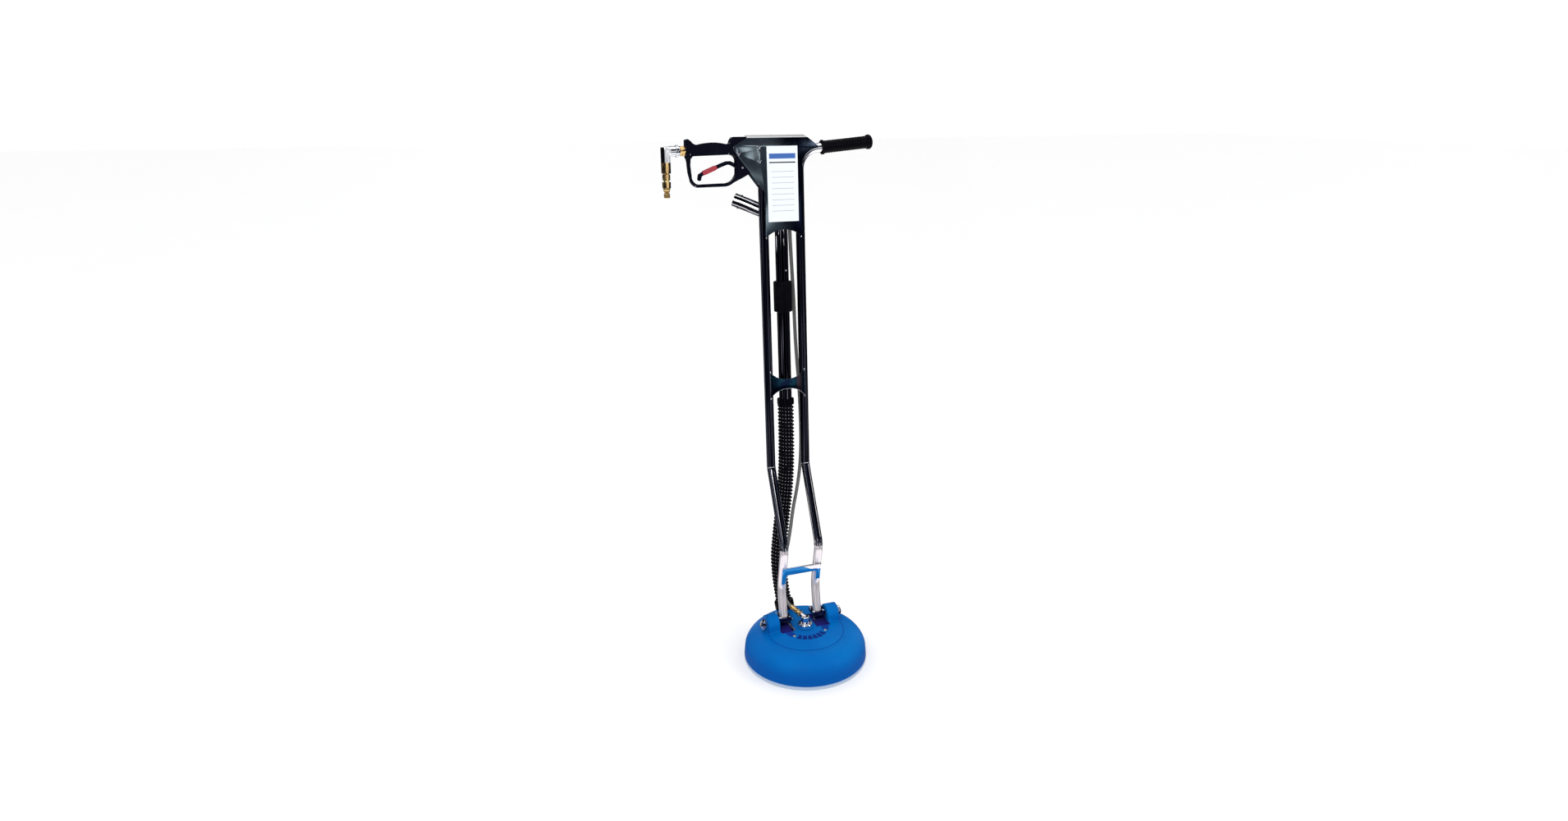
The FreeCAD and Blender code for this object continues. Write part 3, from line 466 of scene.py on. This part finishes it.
def mirror_strip(s):
    """Lower brace: a polished strip with a painted reflection of the blue housing over most of its face,
    pale above a slanted line.
    """
    x, _, z = s.parts(s.place())
    scratch = s.noise(500.0, 3.0, 0.6, s.stretched(0.1, 1.0, 1.0))
    base = s.blend((0.90, 0.87, 0.89), (0.80, 0.78, 0.81), scratch)
    # Painted reflection: the blue housing is painted below a slanted line.
    top = 0.2466 - s.step(x, -0.012, 0.040) * 0.0180
    housing_reflection = 1 - s.step(z - top, -0.0008, 0.0008)
    blue = s.blend((0.0, 0.170, 0.500), (0.02, 0.24, 0.60), s.noise(60.0, 3.0))
    base = s.blend(base, blue, housing_reflection)
    s.surface(Base_Color=painted_edge_glint(s, base), Metallic=1 - housing_reflection * 0.6, Roughness=0.05 + scratch * 0.06,
              Normal=s.bump(scratch, 0.00001, 0.2))


def zinc_steel(s):
    metal(s, (0.66, 0.67, 0.69), (0.46, 0.47, 0.50), 0.34, 300.0)


def dark_steel(s):
    """Polished dark blocks with painted highlights on their edges."""
    tone = s.noise(180.0, 4.0, 0.6)
    base = painted_edge_glint(s, s.blend((0.020, 0.018, 0.050), (0.075, 0.070, 0.130), s.step(tone, 0.4, 0.65)))
    s.surface(Base_Color=base, Metallic=1.0, Roughness=0.12 + tone * 0.14,
              Normal=s.bump(tone, 0.00003, 0.3))


def brass(s):
    """Machined brass: pale gold on the lands, brown where it has dulled."""
    lathe = s.noise(1.0, 2.0, 0.5, s.stretched(60.0, 60.0, 1500.0))
    dull = s.step(s.noise(120.0, 5.0, 0.65), 0.48, 0.70)
    base = s.blend((0.92, 0.66, 0.30), (0.72, 0.46, 0.17), lathe)
    base = s.blend(base, (0.27, 0.14, 0.05), dull * 0.65)
    s.surface(Base_Color=base, Metallic=1.0, Roughness=0.12 + dull * 0.22,
              Normal=s.bump(lathe, 0.00005, 0.4))


def bronze(s):
    metal(s, (0.60, 0.38, 0.18), (0.38, 0.22, 0.10), 0.32, 260.0)


def moulded_black(s, base, dust, rough, grain, depth):
    """Black moulding: fine grain, and a little grey where hands and dust have been."""
    speck = s.noise(grain, 3.0, 0.6)
    wear = s.step(s.noise(34.0, 5.0, 0.6), 0.48, 0.78)
    s.surface(Base_Color=s.blend(base, dust, wear * 0.4 + speck * 0.1), Roughness=rough + wear * 0.14,
              Specular_IOR_Level=0.05, Normal=s.bump(speck, depth, 0.5))


def black_rubber(s):
    moulded_black(s, (0.0015, 0.0015, 0.003), (0.008, 0.008, 0.012), 0.30, 900.0, 0.00012)


def gun_black(s):
    moulded_black(s, (0.0015, 0.002, 0.007), (0.007, 0.008, 0.020), 0.26, 1300.0, 0.00008)


def red_pad(s):
    """Red grip sleeve with fine ribs across it."""
    x, _, z = s.parts(s.place())
    ribs = ((x * 0.93 + z * 0.37) * 2600.0).math("SINE")
    wear = s.noise(90.0, 4.0, 0.6)
    base = s.blend((0.44, 0.030, 0.050), (0.30, 0.018, 0.035), wear)
    s.surface(Base_Color=base, Roughness=0.42 + wear * 0.12, Normal=s.bump(ribs, 0.0002, 0.5))


def label(s):
    """White printed film: a plain blue band near its top, a dark rule, and evenly spaced faint rules."""
    x, y, z = s.parts(s.place())
    height = up_frame(y, z)
    paper = s.noise(700.0, 2.0)
    base = s.blend((0.80, 0.85, 0.90), (0.75, 0.80, 0.86), paper)

    def bar(low, high, half):
        return s.between(height, low, high, 0.00025) * s.between(x, -half, half, 0.00025)

    base = s.blend(base, (0.03, 0.12, 0.42), bar(0.7600, 0.7720, LABEL_BAND_HALF))
    base = s.blend(base, (0.02, 0.02, 0.03), bar(0.7500, 0.7530, LABEL_BAND_HALF))
    for i in range(LABEL_LINES):
        low = 0.7300 - LABEL_LINE_PITCH * i
        base = s.blend(base, (0.30, 0.31, 0.33), bar(low, low + 0.0012, LABEL_LINE_HALF) * 0.8)
    s.surface(Base_Color=base, Roughness=0.30 + paper * 0.1, Coat_Weight=0.3,
              Normal=s.bump(paper, 0.00003, 0.3))


def hose_black(s):
    """Glossy black vinyl. Its rib crests carry painted highlights, short pale dashes in ranks around the
    hose, and its grooves are dull.
    """
    groove = s.node("Attribute", {"attribute_name": "groove"}, output=2)
    around = s.parts(s.node("UVMap", {"uv_map": "wrap"}))[0]
    scuff = s.step(s.noise(60.0, 5.0, 0.65), 0.55, 0.8)
    base = s.blend((0.0015, 0.0015, 0.003), (0.006, 0.006, 0.009), groove * 0.4 + scuff * 0.4)
    # Painted highlights: pale dashes on the rib crests, in ranks around the hose, broken up by noise.
    crest = 1 - s.step(groove, 0.02, 0.20)
    glint_rows = s.step((around * (HOSE_GLINT_ROWS * 2 * math.pi)).math("SINE"), 0.60, 0.85)
    glint_breakup = s.step(s.noise(38.0, 3.0, 0.6), 0.30, 0.52)
    base = s.blend(base, (0.60, 0.61, 0.62), crest * glint_rows * glint_breakup * 0.7)
    fine = s.noise(600.0, 2.0)
    s.surface(Base_Color=base, Roughness=0.14 + groove * 0.25 + scuff * 0.12,
              Specular_IOR_Level=0.05, Normal=s.bump(fine, 0.00008, 0.3))


def hose_grey(s):
    """Braided cover: two sets of threads that cross around the hose."""
    u, v, _ = s.parts(s.node("UVMap", {"uv_map": "wrap"}))
    around = u * THREADS_AROUND
    run = v * THREADS_ALONG
    one = ((around + run) * (2 * math.pi)).math("SINE")
    two = ((around - run) * (2 * math.pi)).math("SINE")
    thread = one.math("MAXIMUM", two) * 0.5 + 0.5
    drift = s.noise(25.0, 4.0)
    base = s.blend((0.035, 0.035, 0.038), (0.27, 0.27, 0.265), thread * 0.8 + drift * 0.2)
    s.surface(Base_Color=base, Roughness=0.36 + drift * 0.15, Metallic=0.25,
              Normal=s.bump(thread, 0.0003, 0.8))


def pale_floor(s):
    drift = s.noise(1.3, 3.0)
    s.surface(Base_Color=s.blend((0.975, 0.975, 0.975), (0.99, 0.99, 0.99), drift), Roughness=0.7)


RECIPES = (
    painted_brace_reflection, mirror_strip, vacuum_pipe, knob_chrome, elbow_chrome, blue_shell, white_ring, bristles,
    turned_aluminium, chrome, polished_steel, polished_plate, zinc_steel, dark_steel, brass, bronze,
    black_rubber, gun_black, red_pad, label, hose_black, hose_grey,
)
finishes = {recipe.__name__: finish(recipe.__name__, recipe) for recipe in RECIPES}
slot_of = {part["node"]: part["material_slot"] for part in frame["record"]["subparts"]}
bodies = frame["record"]["behaviour"]["bodies"]
body_of = {node: body for body, members in bodies.items() for node in members}
SPECIAL = {
    "mid_brace": "painted_brace_reflection", "lower_brace": "mirror_strip", "swivel_elbow": "elbow_chrome",
    "vac_pipe_upper": "vacuum_pipe", "vac_pipe_lower": "vacuum_pipe",
    "clamp_knob_left": "knob_chrome", "clamp_knob_right": "knob_chrome",
}


def finish_of(node):
    return finishes[SPECIAL.get(node, slot_of[node])]


def dress_nodes():
    """Every CAD node takes the finish of its material slot, but for a few with their own polish."""
    for name, piece in nodes.items():
        piece.data.materials.clear()
        piece.data.materials.append(finish_of(name))


# ---------------------------------------------------------------- piece tools

EDGE_ANGLE = 38
CRISP_ANGLE = 25

def add_piece(name, mesh, like, *also):
    """A finished mesh in the row frame: it stands for the CAD nodes, which it hides, with their finish."""
    piece = bpy.data.objects.new(name, mesh)
    scene.collection.objects.link(piece)
    mesh.materials.clear()
    mesh.materials.append(finish_of(like))
    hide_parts(like, *also)
    return piece


def add_trim(name, mesh, slot, body):
    """A small extra piece that stands for no CAD node."""
    piece = bpy.data.objects.new(name, mesh)
    scene.collection.objects.link(piece)
    mesh.materials.clear()
    mesh.materials.append(finishes[slot])
    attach(piece, body)
    return piece


def baked(mesh, *stack):
    """The mesh after a stack of modifiers, each a type and its settings."""
    helper = bpy.data.objects.new("helper", mesh)
    scene.collection.objects.link(helper)
    for kind, settings in stack:
        modifier = helper.modifiers.new(kind.lower(), kind)
        for key, value in settings.items():
            setattr(modifier, key, value)
    seen = helper.evaluated_get(bpy.context.evaluated_depsgraph_get())
    done = bpy.data.meshes.new_from_object(seen)
    bpy.data.objects.remove(helper)
    return done


def cad_mesh(*names):
    """The joined, merged copy of some CAD nodes."""
    merged = bmesh.new()
    for name in names:
        merged.from_mesh(nodes[name].data)
    bmesh.ops.remove_doubles(merged, verts=merged.verts, dist=0.005 * MM)
    mesh = bpy.data.meshes.new("+".join(names))
    merged.to_mesh(mesh)
    merged.free()
    return mesh


def shade_smooth(mesh, sharp=None):
    """Smooth faces, with edges past the sharp angle kept crisp."""
    shell = bmesh.new()
    shell.from_mesh(mesh)
    for face in shell.faces:
        face.smooth = True
    for edge in shell.edges:
        if sharp and edge.calc_face_angle(0) > math.radians(sharp):
            edge.smooth = False
    shell.to_mesh(mesh)
    shell.free()


def moulded(name, grain, rounds, *sources, share=1.0):
    """CAD nodes melted together on a fine grid and smoothed, which rounds every edge as a mould does."""
    mesh = baked(
        cad_mesh(*sources),
        ("REMESH", {"mode": "VOXEL", "voxel_size": grain * MM, "use_smooth_shade": True}),
        ("SMOOTH", {"factor": 0.5, "iterations": rounds}),
        ("DECIMATE", {"ratio": share}),
    )
    shade_smooth(mesh)
    piece = add_piece(name, mesh, *sources)
    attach(piece, body_of[sources[0]])
    return piece


def softened(node, width):
    """A CAD node with its hard edges broken, so that they catch the light. The new faces are marked."""
    source = bmesh.new()
    source.from_mesh(cad_mesh(node))
    bmesh.ops.dissolve_limit(source, angle_limit=math.radians(0.6), verts=source.verts, edges=source.edges)
    mesh = bpy.data.meshes.new(node + "_soft")
    source.to_mesh(mesh)
    source.free()
    for polygon in mesh.polygons:
        polygon.material_index = 0
    for _ in range(2):
        mesh.materials.append(finish_of(node))
    mesh = baked(mesh, ("BEVEL", {
        "width": width * MM, "segments": 2, "limit_method": "ANGLE", "material": 1,
        "angle_limit": math.radians(EDGE_ANGLE), "use_clamp_overlap": True,
    }))
    # The marked edge faces get a painted highlight in the finishes that read this mark.
    edge = mesh.attributes.new("edge", "FLOAT", "CORNER")
    for polygon in mesh.polygons:
        for loop in polygon.loop_indices:
            edge.data[loop].value = polygon.material_index
        polygon.material_index = 0
    shade_smooth(mesh, CRISP_ANGLE)
    piece = add_piece(node + "_finished", mesh, node)
    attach(piece, body_of[node])
    return piece


def turned_mesh(profile, place, steps=48):
    """A turned shape from (radius, height) points in millimetres, top to bottom, set in its place."""
    mesh = bpy.data.meshes.new("profile")
    points = [(radius * MM, 0, height * MM) for radius, height in profile]
    mesh.from_pydata(points, [(i, i + 1) for i in range(len(points) - 1)], [])
    mesh = baked(mesh, ("SCREW", {
        "axis": "Z", "steps": steps, "render_steps": steps, "use_merge_vertices": True,
        "merge_threshold": 0.01 * MM, "use_smooth_shade": True,
    }))
    mesh.transform(place)
    return mesh


def joined(name, meshes):
    """Several meshes as one, merged where they meet."""
    whole = bmesh.new()
    for mesh in meshes:
        whole.from_mesh(mesh)
    bmesh.ops.remove_doubles(whole, verts=whole.verts, dist=0.002 * MM)
    mesh = bpy.data.meshes.new(name)
    whole.to_mesh(mesh)
    whole.free()
    return mesh


# ---------------------------------------------------------------- hoses

RIB_PITCH = 9.3
RIB_ROOT = 16.8
RIB_HEIGHT = 4.2
SOLUTION_RADIUS = 4.5
VACUUM_HOSE_ROUTE = (
    (0.0, 0.14794, 0.64425), (0.0, 0.13942, 0.53057), (-0.004, 0.138, 0.420),
    (-0.020, 0.131, 0.310), (-0.033, 0.122, 0.200), (-0.020, 0.104, 0.100),
)
SOLUTION_HOSE_ROUTE = (
    (-0.0248, 0.0381, 0.1273), (-0.0317, 0.0487, 0.1324), (-0.0345, 0.066, 0.146), (-0.0315, 0.084, 0.178),
    (-0.020, 0.098, 0.236), (-0.002, 0.110, 0.298), (0.014, 0.131, 0.356), (0.031, 0.143, 0.414),
    (0.042, 0.151, 0.474), (0.047, 0.160, 0.540), (0.047, 0.166, 0.610), (0.045, 0.171, 0.680),
    (0.040, 0.175, 0.750), (0.036, 0.178, 0.820), (0.034, 0.181, 0.890), (0.031, 0.185, 0.960),
    (0.028, 0.189, 1.025), (0.024, 0.188, 1.090), (0.020, 0.17699, 1.13849), (0.020, 0.17960, 1.17330),
)


def smooth_line(route, spans):
    """Points along the smooth spline that a hose's route controls."""
    data = bpy.data.curves.new("line", "CURVE")
    data.dimensions = "3D"
    data.resolution_u = spans
    spline = data.splines.new("NURBS")
    spline.points.add(len(route) - 1)
    for point, place in zip(spline.points, route):
        point.co = (*place, 1)
    spline.order_u = 3
    spline.use_endpoint_u = True
    helper = bpy.data.objects.new("line", data)
    scene.collection.objects.link(helper)
    mesh = bpy.data.meshes.new_from_object(helper.evaluated_get(bpy.context.evaluated_depsgraph_get()))
    line = [vertex.co.copy() for vertex in mesh.vertices]
    bpy.data.objects.remove(helper)
    return line


def hose_mesh(name, line, sides, radius_at):
    """A tube around a line. radius_at gives its radius from the length run and the turn around, in turns."""
    tube = bmesh.new()
    wrap = tube.loops.layers.uv.new("wrap")
    groove = tube.verts.layers.float.new("groove")
    run = 0.0
    runs = []
    rings = []
    side = Vector((1, 0, 0))
    for i, point in enumerate(line):
        ahead = line[min(i + 1, len(line) - 1)] - line[max(i - 1, 0)]
        ahead.normalize()
        side = (side - ahead * side.dot(ahead)).normalized()
        other = ahead.cross(side)
        run += (point - line[i - 1]).length if i else 0
        ring = []
        for j in range(sides):
            radius, depth = radius_at(run, j / sides)
            turn = 2 * math.pi * j / sides
            vert = tube.verts.new(point + (side * math.cos(turn) + other * math.sin(turn)) * radius)
            vert[groove] = depth
            ring.append(vert)
        rings.append(ring)
        runs.append(run)
    for i in range(len(rings) - 1):
        for j in range(sides):
            k = (j + 1) % sides
            face = tube.faces.new((rings[i][j], rings[i][k], rings[i + 1][k], rings[i + 1][j]))
            face.smooth = True
            corners = ((j, i), (j + 1, i), (j + 1, i + 1), (j, i + 1))
            for loop, (across, up) in zip(face.loops, corners):
                loop[wrap].uv = (across / sides, runs[up])
    tube.faces.new(list(reversed(rings[0])))
    tube.faces.new(rings[-1])
    bmesh.ops.recalc_face_normals(tube, faces=tube.faces)
    mesh = bpy.data.meshes.new(name)
    tube.to_mesh(mesh)
    tube.free()
    return mesh


def vacuum_hose():
    """Corrugated hose: a rounded rib winds around a thinner wall."""

    def radius_at(run, turn):
        wave = 0.5 + 0.5 * math.cos(2 * math.pi * (run / (RIB_PITCH * MM) + turn))
        rib = wave ** 1.4
        return (RIB_ROOT + RIB_HEIGHT * rib) * MM, 1 - rib

    line = smooth_line(VACUUM_HOSE_ROUTE, 130)
    mesh = hose_mesh("vacuum_hose_ribbed", line, 40, radius_at)
    piece = add_piece("vacuum_hose_ribbed", mesh, "vacuum_hose")
    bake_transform(piece)


def solution_hose():
    """Plain braided hose, its braid left to the finish."""
    line = smooth_line(SOLUTION_HOSE_ROUTE, 14)
    mesh = hose_mesh("solution_hose_braided", line, 16, lambda run, turn: (SOLUTION_RADIUS * MM, 0.0))
    piece = add_piece("solution_hose_braided", mesh, "solution_hose")
    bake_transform(piece)


# ---------------------------------------------------------------- grip, spring, bristles and welds

GRIP_SLOPE = math.radians(5)
GRIP_START = 104
GRIP_TURN = 779.2
GRIP_LENGTH = 132
GRIP_BORE = 11.15
GRIP_RIBS = 15
GRIP_RIB_PITCH = 7.2
GRIP_RIB = ((13.8, 6.9), (14.9, 5.9), (15.2, 3.9), (14.9, 1.9), (13.8, 0.9))
PIN_HEIGHT = 763
WELD_HEIGHTS = (578.5, 182.5, 248.5)


def rubber_grip():
    """Ribbed grip with a guard flange at its inner end and a rounded bulb at its outer end."""
    profile = [(0, GRIP_LENGTH), (10, GRIP_LENGTH - 0.2), (14.4, 131), (16.8, 128.6), (17.7, 125.5),
               (17.7, 122.5), (16.6, 119.6), (14.6, 118.2)]
    for i in reversed(range(GRIP_RIBS)):
        low = 8 + GRIP_RIB_PITCH * i
        profile += [(radius, low + rise) for radius, rise in GRIP_RIB]
    profile += [(14.2, 7.2), (16.6, 6.2), (17.5, 4.4), (17.5, 2.0), (16.6, 0.5), (15, 0), (GRIP_BORE, 0),
                (GRIP_BORE, 126), (0, 126)]
    start = upper_point(GRIP_START, 0, GRIP_TURN + (GRIP_START - TUBE_X) * math.tan(GRIP_SLOPE))
    aim = UPPER.to_3x3() @ Vector((math.cos(GRIP_SLOPE), 0, math.sin(GRIP_SLOPE)))
    mesh = turned_mesh(profile, along(start, aim), 40)
    mesh = baked(mesh, ("SUBSURF", {"levels": 1, "render_levels": 1}))
    piece = add_piece("rubber_grip_ribbed", mesh, "rubber_grip")
    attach(piece, "handle")


def valve_spring():
    """Coil behind the valve pin."""
    low, high, turns = -65.6, -52.4, 7
    coil, wire = 3.0, 0.4
    steps = turns * 16
    line = []
    for i in range(steps + 1):
        turn = 2 * math.pi * turns * i / steps
        x = low + wire + (high - low - 2 * wire) * i / steps
        line.append(upper_point(x, coil * math.cos(turn), PIN_HEIGHT + coil * math.sin(turn)))
    mesh = hose_mesh("valve_spring_coil", line, 6, lambda run, turn: (wire * MM, 0.0))
    piece = add_piece("valve_spring_coil", mesh, "valve_spring")
    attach(piece, "handle")
    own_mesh(piece)


def bristle_tufts():
    """Two rings of nylon tufts under the white ring, each splayed a little at its tip."""
    low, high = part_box("bristle_strip")
    bottom, top = low[2], high[2]
    middle = (bottom + top) / 2
    tufts = bmesh.new()
    for radius, count in ((141.7, 88), (146.6, 92)):
        for i in range(count):
            turn = 2 * math.pi * i / count
            centre = (radius * MM * math.cos(turn), radius * MM * math.sin(turn), middle)
            place = Matrix.Translation(centre) @ Matrix.Rotation(turn, 4, "Z")
            bmesh.ops.create_cone(tufts, cap_ends=True, segments=7, radius1=2.5 * MM, radius2=1.8 * MM,
                                  depth=top - bottom, matrix=place)
    mesh = bpy.data.meshes.new("bristle_tufts")
    tufts.to_mesh(mesh)
    tufts.free()
    shade_smooth(mesh, 60)
    piece = add_piece("bristle_tufts", mesh, "bristle_strip")
    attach(piece, "head")


def weld_rings():
    """A dressed weld round each frame tube at its upper bend, square to the mean of its two directions."""
    rings = []
    sides = 10
    for side in (-1, 1):
        place = along(Vector((side * TUBE_X, 127.3, 485.5)) * MM, (0, 0.273, 0.962))
        turns = [2 * math.pi * i / sides for i in range(sides + 1)]
        profile = [(11.1 + 0.6 * math.cos(t), -0.9 * math.sin(t)) for t in turns]
        rings.append(turned_mesh(profile, place, 40))
    add_trim("bend_welds", joined("bend_welds", rings), "chrome", "handle")


def weld_dabs():
    """Short beads where the plate and the middle brace meet the tubes."""
    dabs = bmesh.new()
    spots = [(side * 45.0, height) for side in (-1, 1) for height in WELD_HEIGHTS]
    for x, height in spots:
        for i, size in enumerate((1.25, 1.5, 1.1)):
            place = Matrix.Translation(upper_point(x, -11.6, height + 1.9 * (i - 1)))
            scale = Matrix.Diagonal((size * 1.3 * MM, size * 0.8 * MM, size * MM, 1))
            bmesh.ops.create_icosphere(dabs, subdivisions=2, radius=1, matrix=place @ scale)
    mesh = bpy.data.meshes.new("weld_dabs")
    dabs.to_mesh(mesh)
    dabs.free()
    shade_smooth(mesh)
    add_trim("weld_dabs", mesh, "chrome", "handle")


def pipe_screw():
    """Small pan-head screw through the vacuum pipe above its coupling."""
    place = along(upper_point(4.0, PIPE_BACK - 15.4, 497), UPPER.to_3x3() @ Vector((0.25, -0.97, 0)))
    head = turned_mesh([(0, 1.9), (1.2, 1.8), (2.1, 1.2), (2.4, 0.3), (2.4, -0.4), (0, -0.4)], place, 20)
    add_trim("pipe_screw", head, "zinc_steel", "handle")


# ---------------------------------------------------------------- studio

# Upright strips on the walls: bearing, half width and brightness.
WALL_STRIPS = (
    (-2.75, 0.07, 0.9), (-2.15, 0.10, 1.0), (-0.45, 0.10, 0.9),
    (0.6, 0.08, 0.8), (1.5, 0.12, 0.9), (2.6, 0.10, 0.9),
)
FLOOR_REACH = 30


def studio_light(name, place, target, size, power):
    """A rectangular lamp that faces its target."""
    data = bpy.data.lights.new(name, "AREA")
    data.shape = "RECTANGLE"
    data.size, data.size_y = size
    data.energy = power
    light = bpy.data.objects.new(name, data)
    light.location = place
    light.rotation_euler = (Vector(target) - Vector(place)).to_track_quat("-Z", "Y").to_euler()
    scene.collection.objects.link(light)


def studio_world():
    """White room. Polished metal sees a white floor and ceiling, and dark walls with a screen and strips."""
    world = bpy.data.worlds.new("studio")
    world.use_nodes = True
    scene.world = world
    s = Shader(world.node_tree)
    x, y, z = s.parts(s.place("Generated"))
    bearing = y.math("ARCTAN2", x)
    floor = 1 - s.step(z, -0.58, -0.48)
    screen = s.between(bearing, -1.38, -1.06, 0.05) * s.between(z, -0.26, 0.22, 0.05) * 0.55
    top = s.step(z, 0.72, 0.82)
    light = floor.math("MAXIMUM", screen).math("MAXIMUM", top)
    for centre, half, level in WALL_STRIPS:
        strip = s.between(bearing, centre - half, centre + half, 0.03) * s.step(z, -0.48, -0.40)
        light = light.math("MAXIMUM", strip * level)
    sky = s.blend((0.010, 0.012, 0.024), (1.15, 1.14, 1.17), light)
    seen = s.node("Background", None, sky, 1.0)
    plain = s.node("Background", None, (1.0, 1.0, 1.0), 1.08)
    glossy = s.node("LightPath", None, output="Is Glossy Ray")
    s.node("OutputWorld", None, s.node("MixShader", None, glossy, plain, seen))


def studio_floor():
    """A pale floor that polished metal doesn't reflect."""
    mesh = bpy.data.meshes.new("floor")
    corners = [(x * FLOOR_REACH, y * FLOOR_REACH, 0) for x, y in ((-1, -1), (1, -1), (1, 1), (-1, 1))]
    mesh.from_pydata(corners, [], [(0, 1, 2, 3)])
    mesh.materials.append(finish("pale_floor", pale_floor))
    floor = bpy.data.objects.new("floor", mesh)
    floor.visible_glossy = False
    scene.collection.objects.link(floor)


# ---------------------------------------------------------------- build

make_camera()
studio_world()
studio_floor()
studio_light("key", (-1.3, -2.0, 2.2), (0, 0, 0.5), (0.5, 0.5), 11)
studio_light("fill", (1.9, -1.5, 1.9), (0, 0, 0.6), (0.35, 0.35), 6)
dress_nodes()
vacuum_hose()
solution_hose()
rubber_grip()
valve_spring()
bristle_tufts()
weld_rings()
weld_dabs()
pipe_screw()
moulded("housing_cast", 1.5, 4, "housing", share=0.55)
moulded("gun_moulded", 1.1, 6, "gun_shell_front", "gun_shell_rear")
moulded("trigger_moulded", 0.6, 5, "trigger_lever")
moulded("trigger_pad_moulded", 0.5, 5, "trigger_pad")
moulded("knob_left_cast", 0.5, 9, "clamp_knob_left")
moulded("knob_right_cast", 0.5, 9, "clamp_knob_right")
for node in ("front_plate", "rear_plate", "mid_brace", "lower_brace", "pipe_clip"):
    softened(node, 0.45)
for node in ("hinge_block_left", "hinge_block_right", "vac_coupling", "port_cuff", "hose_cuff",
             "brush_ring"):
    softened(node, 0.6)
for node in ("foot_bolts", "plate_screws", "hub_screws", "inlet_nut", "swivel_nut", "upper_adapter",
             "lower_adapter", "fluted_collar", "swivel_cap", "inlet_fitting", "hose_ferrule",
             "swivel_elbow"):
    softened(node, 0.35)
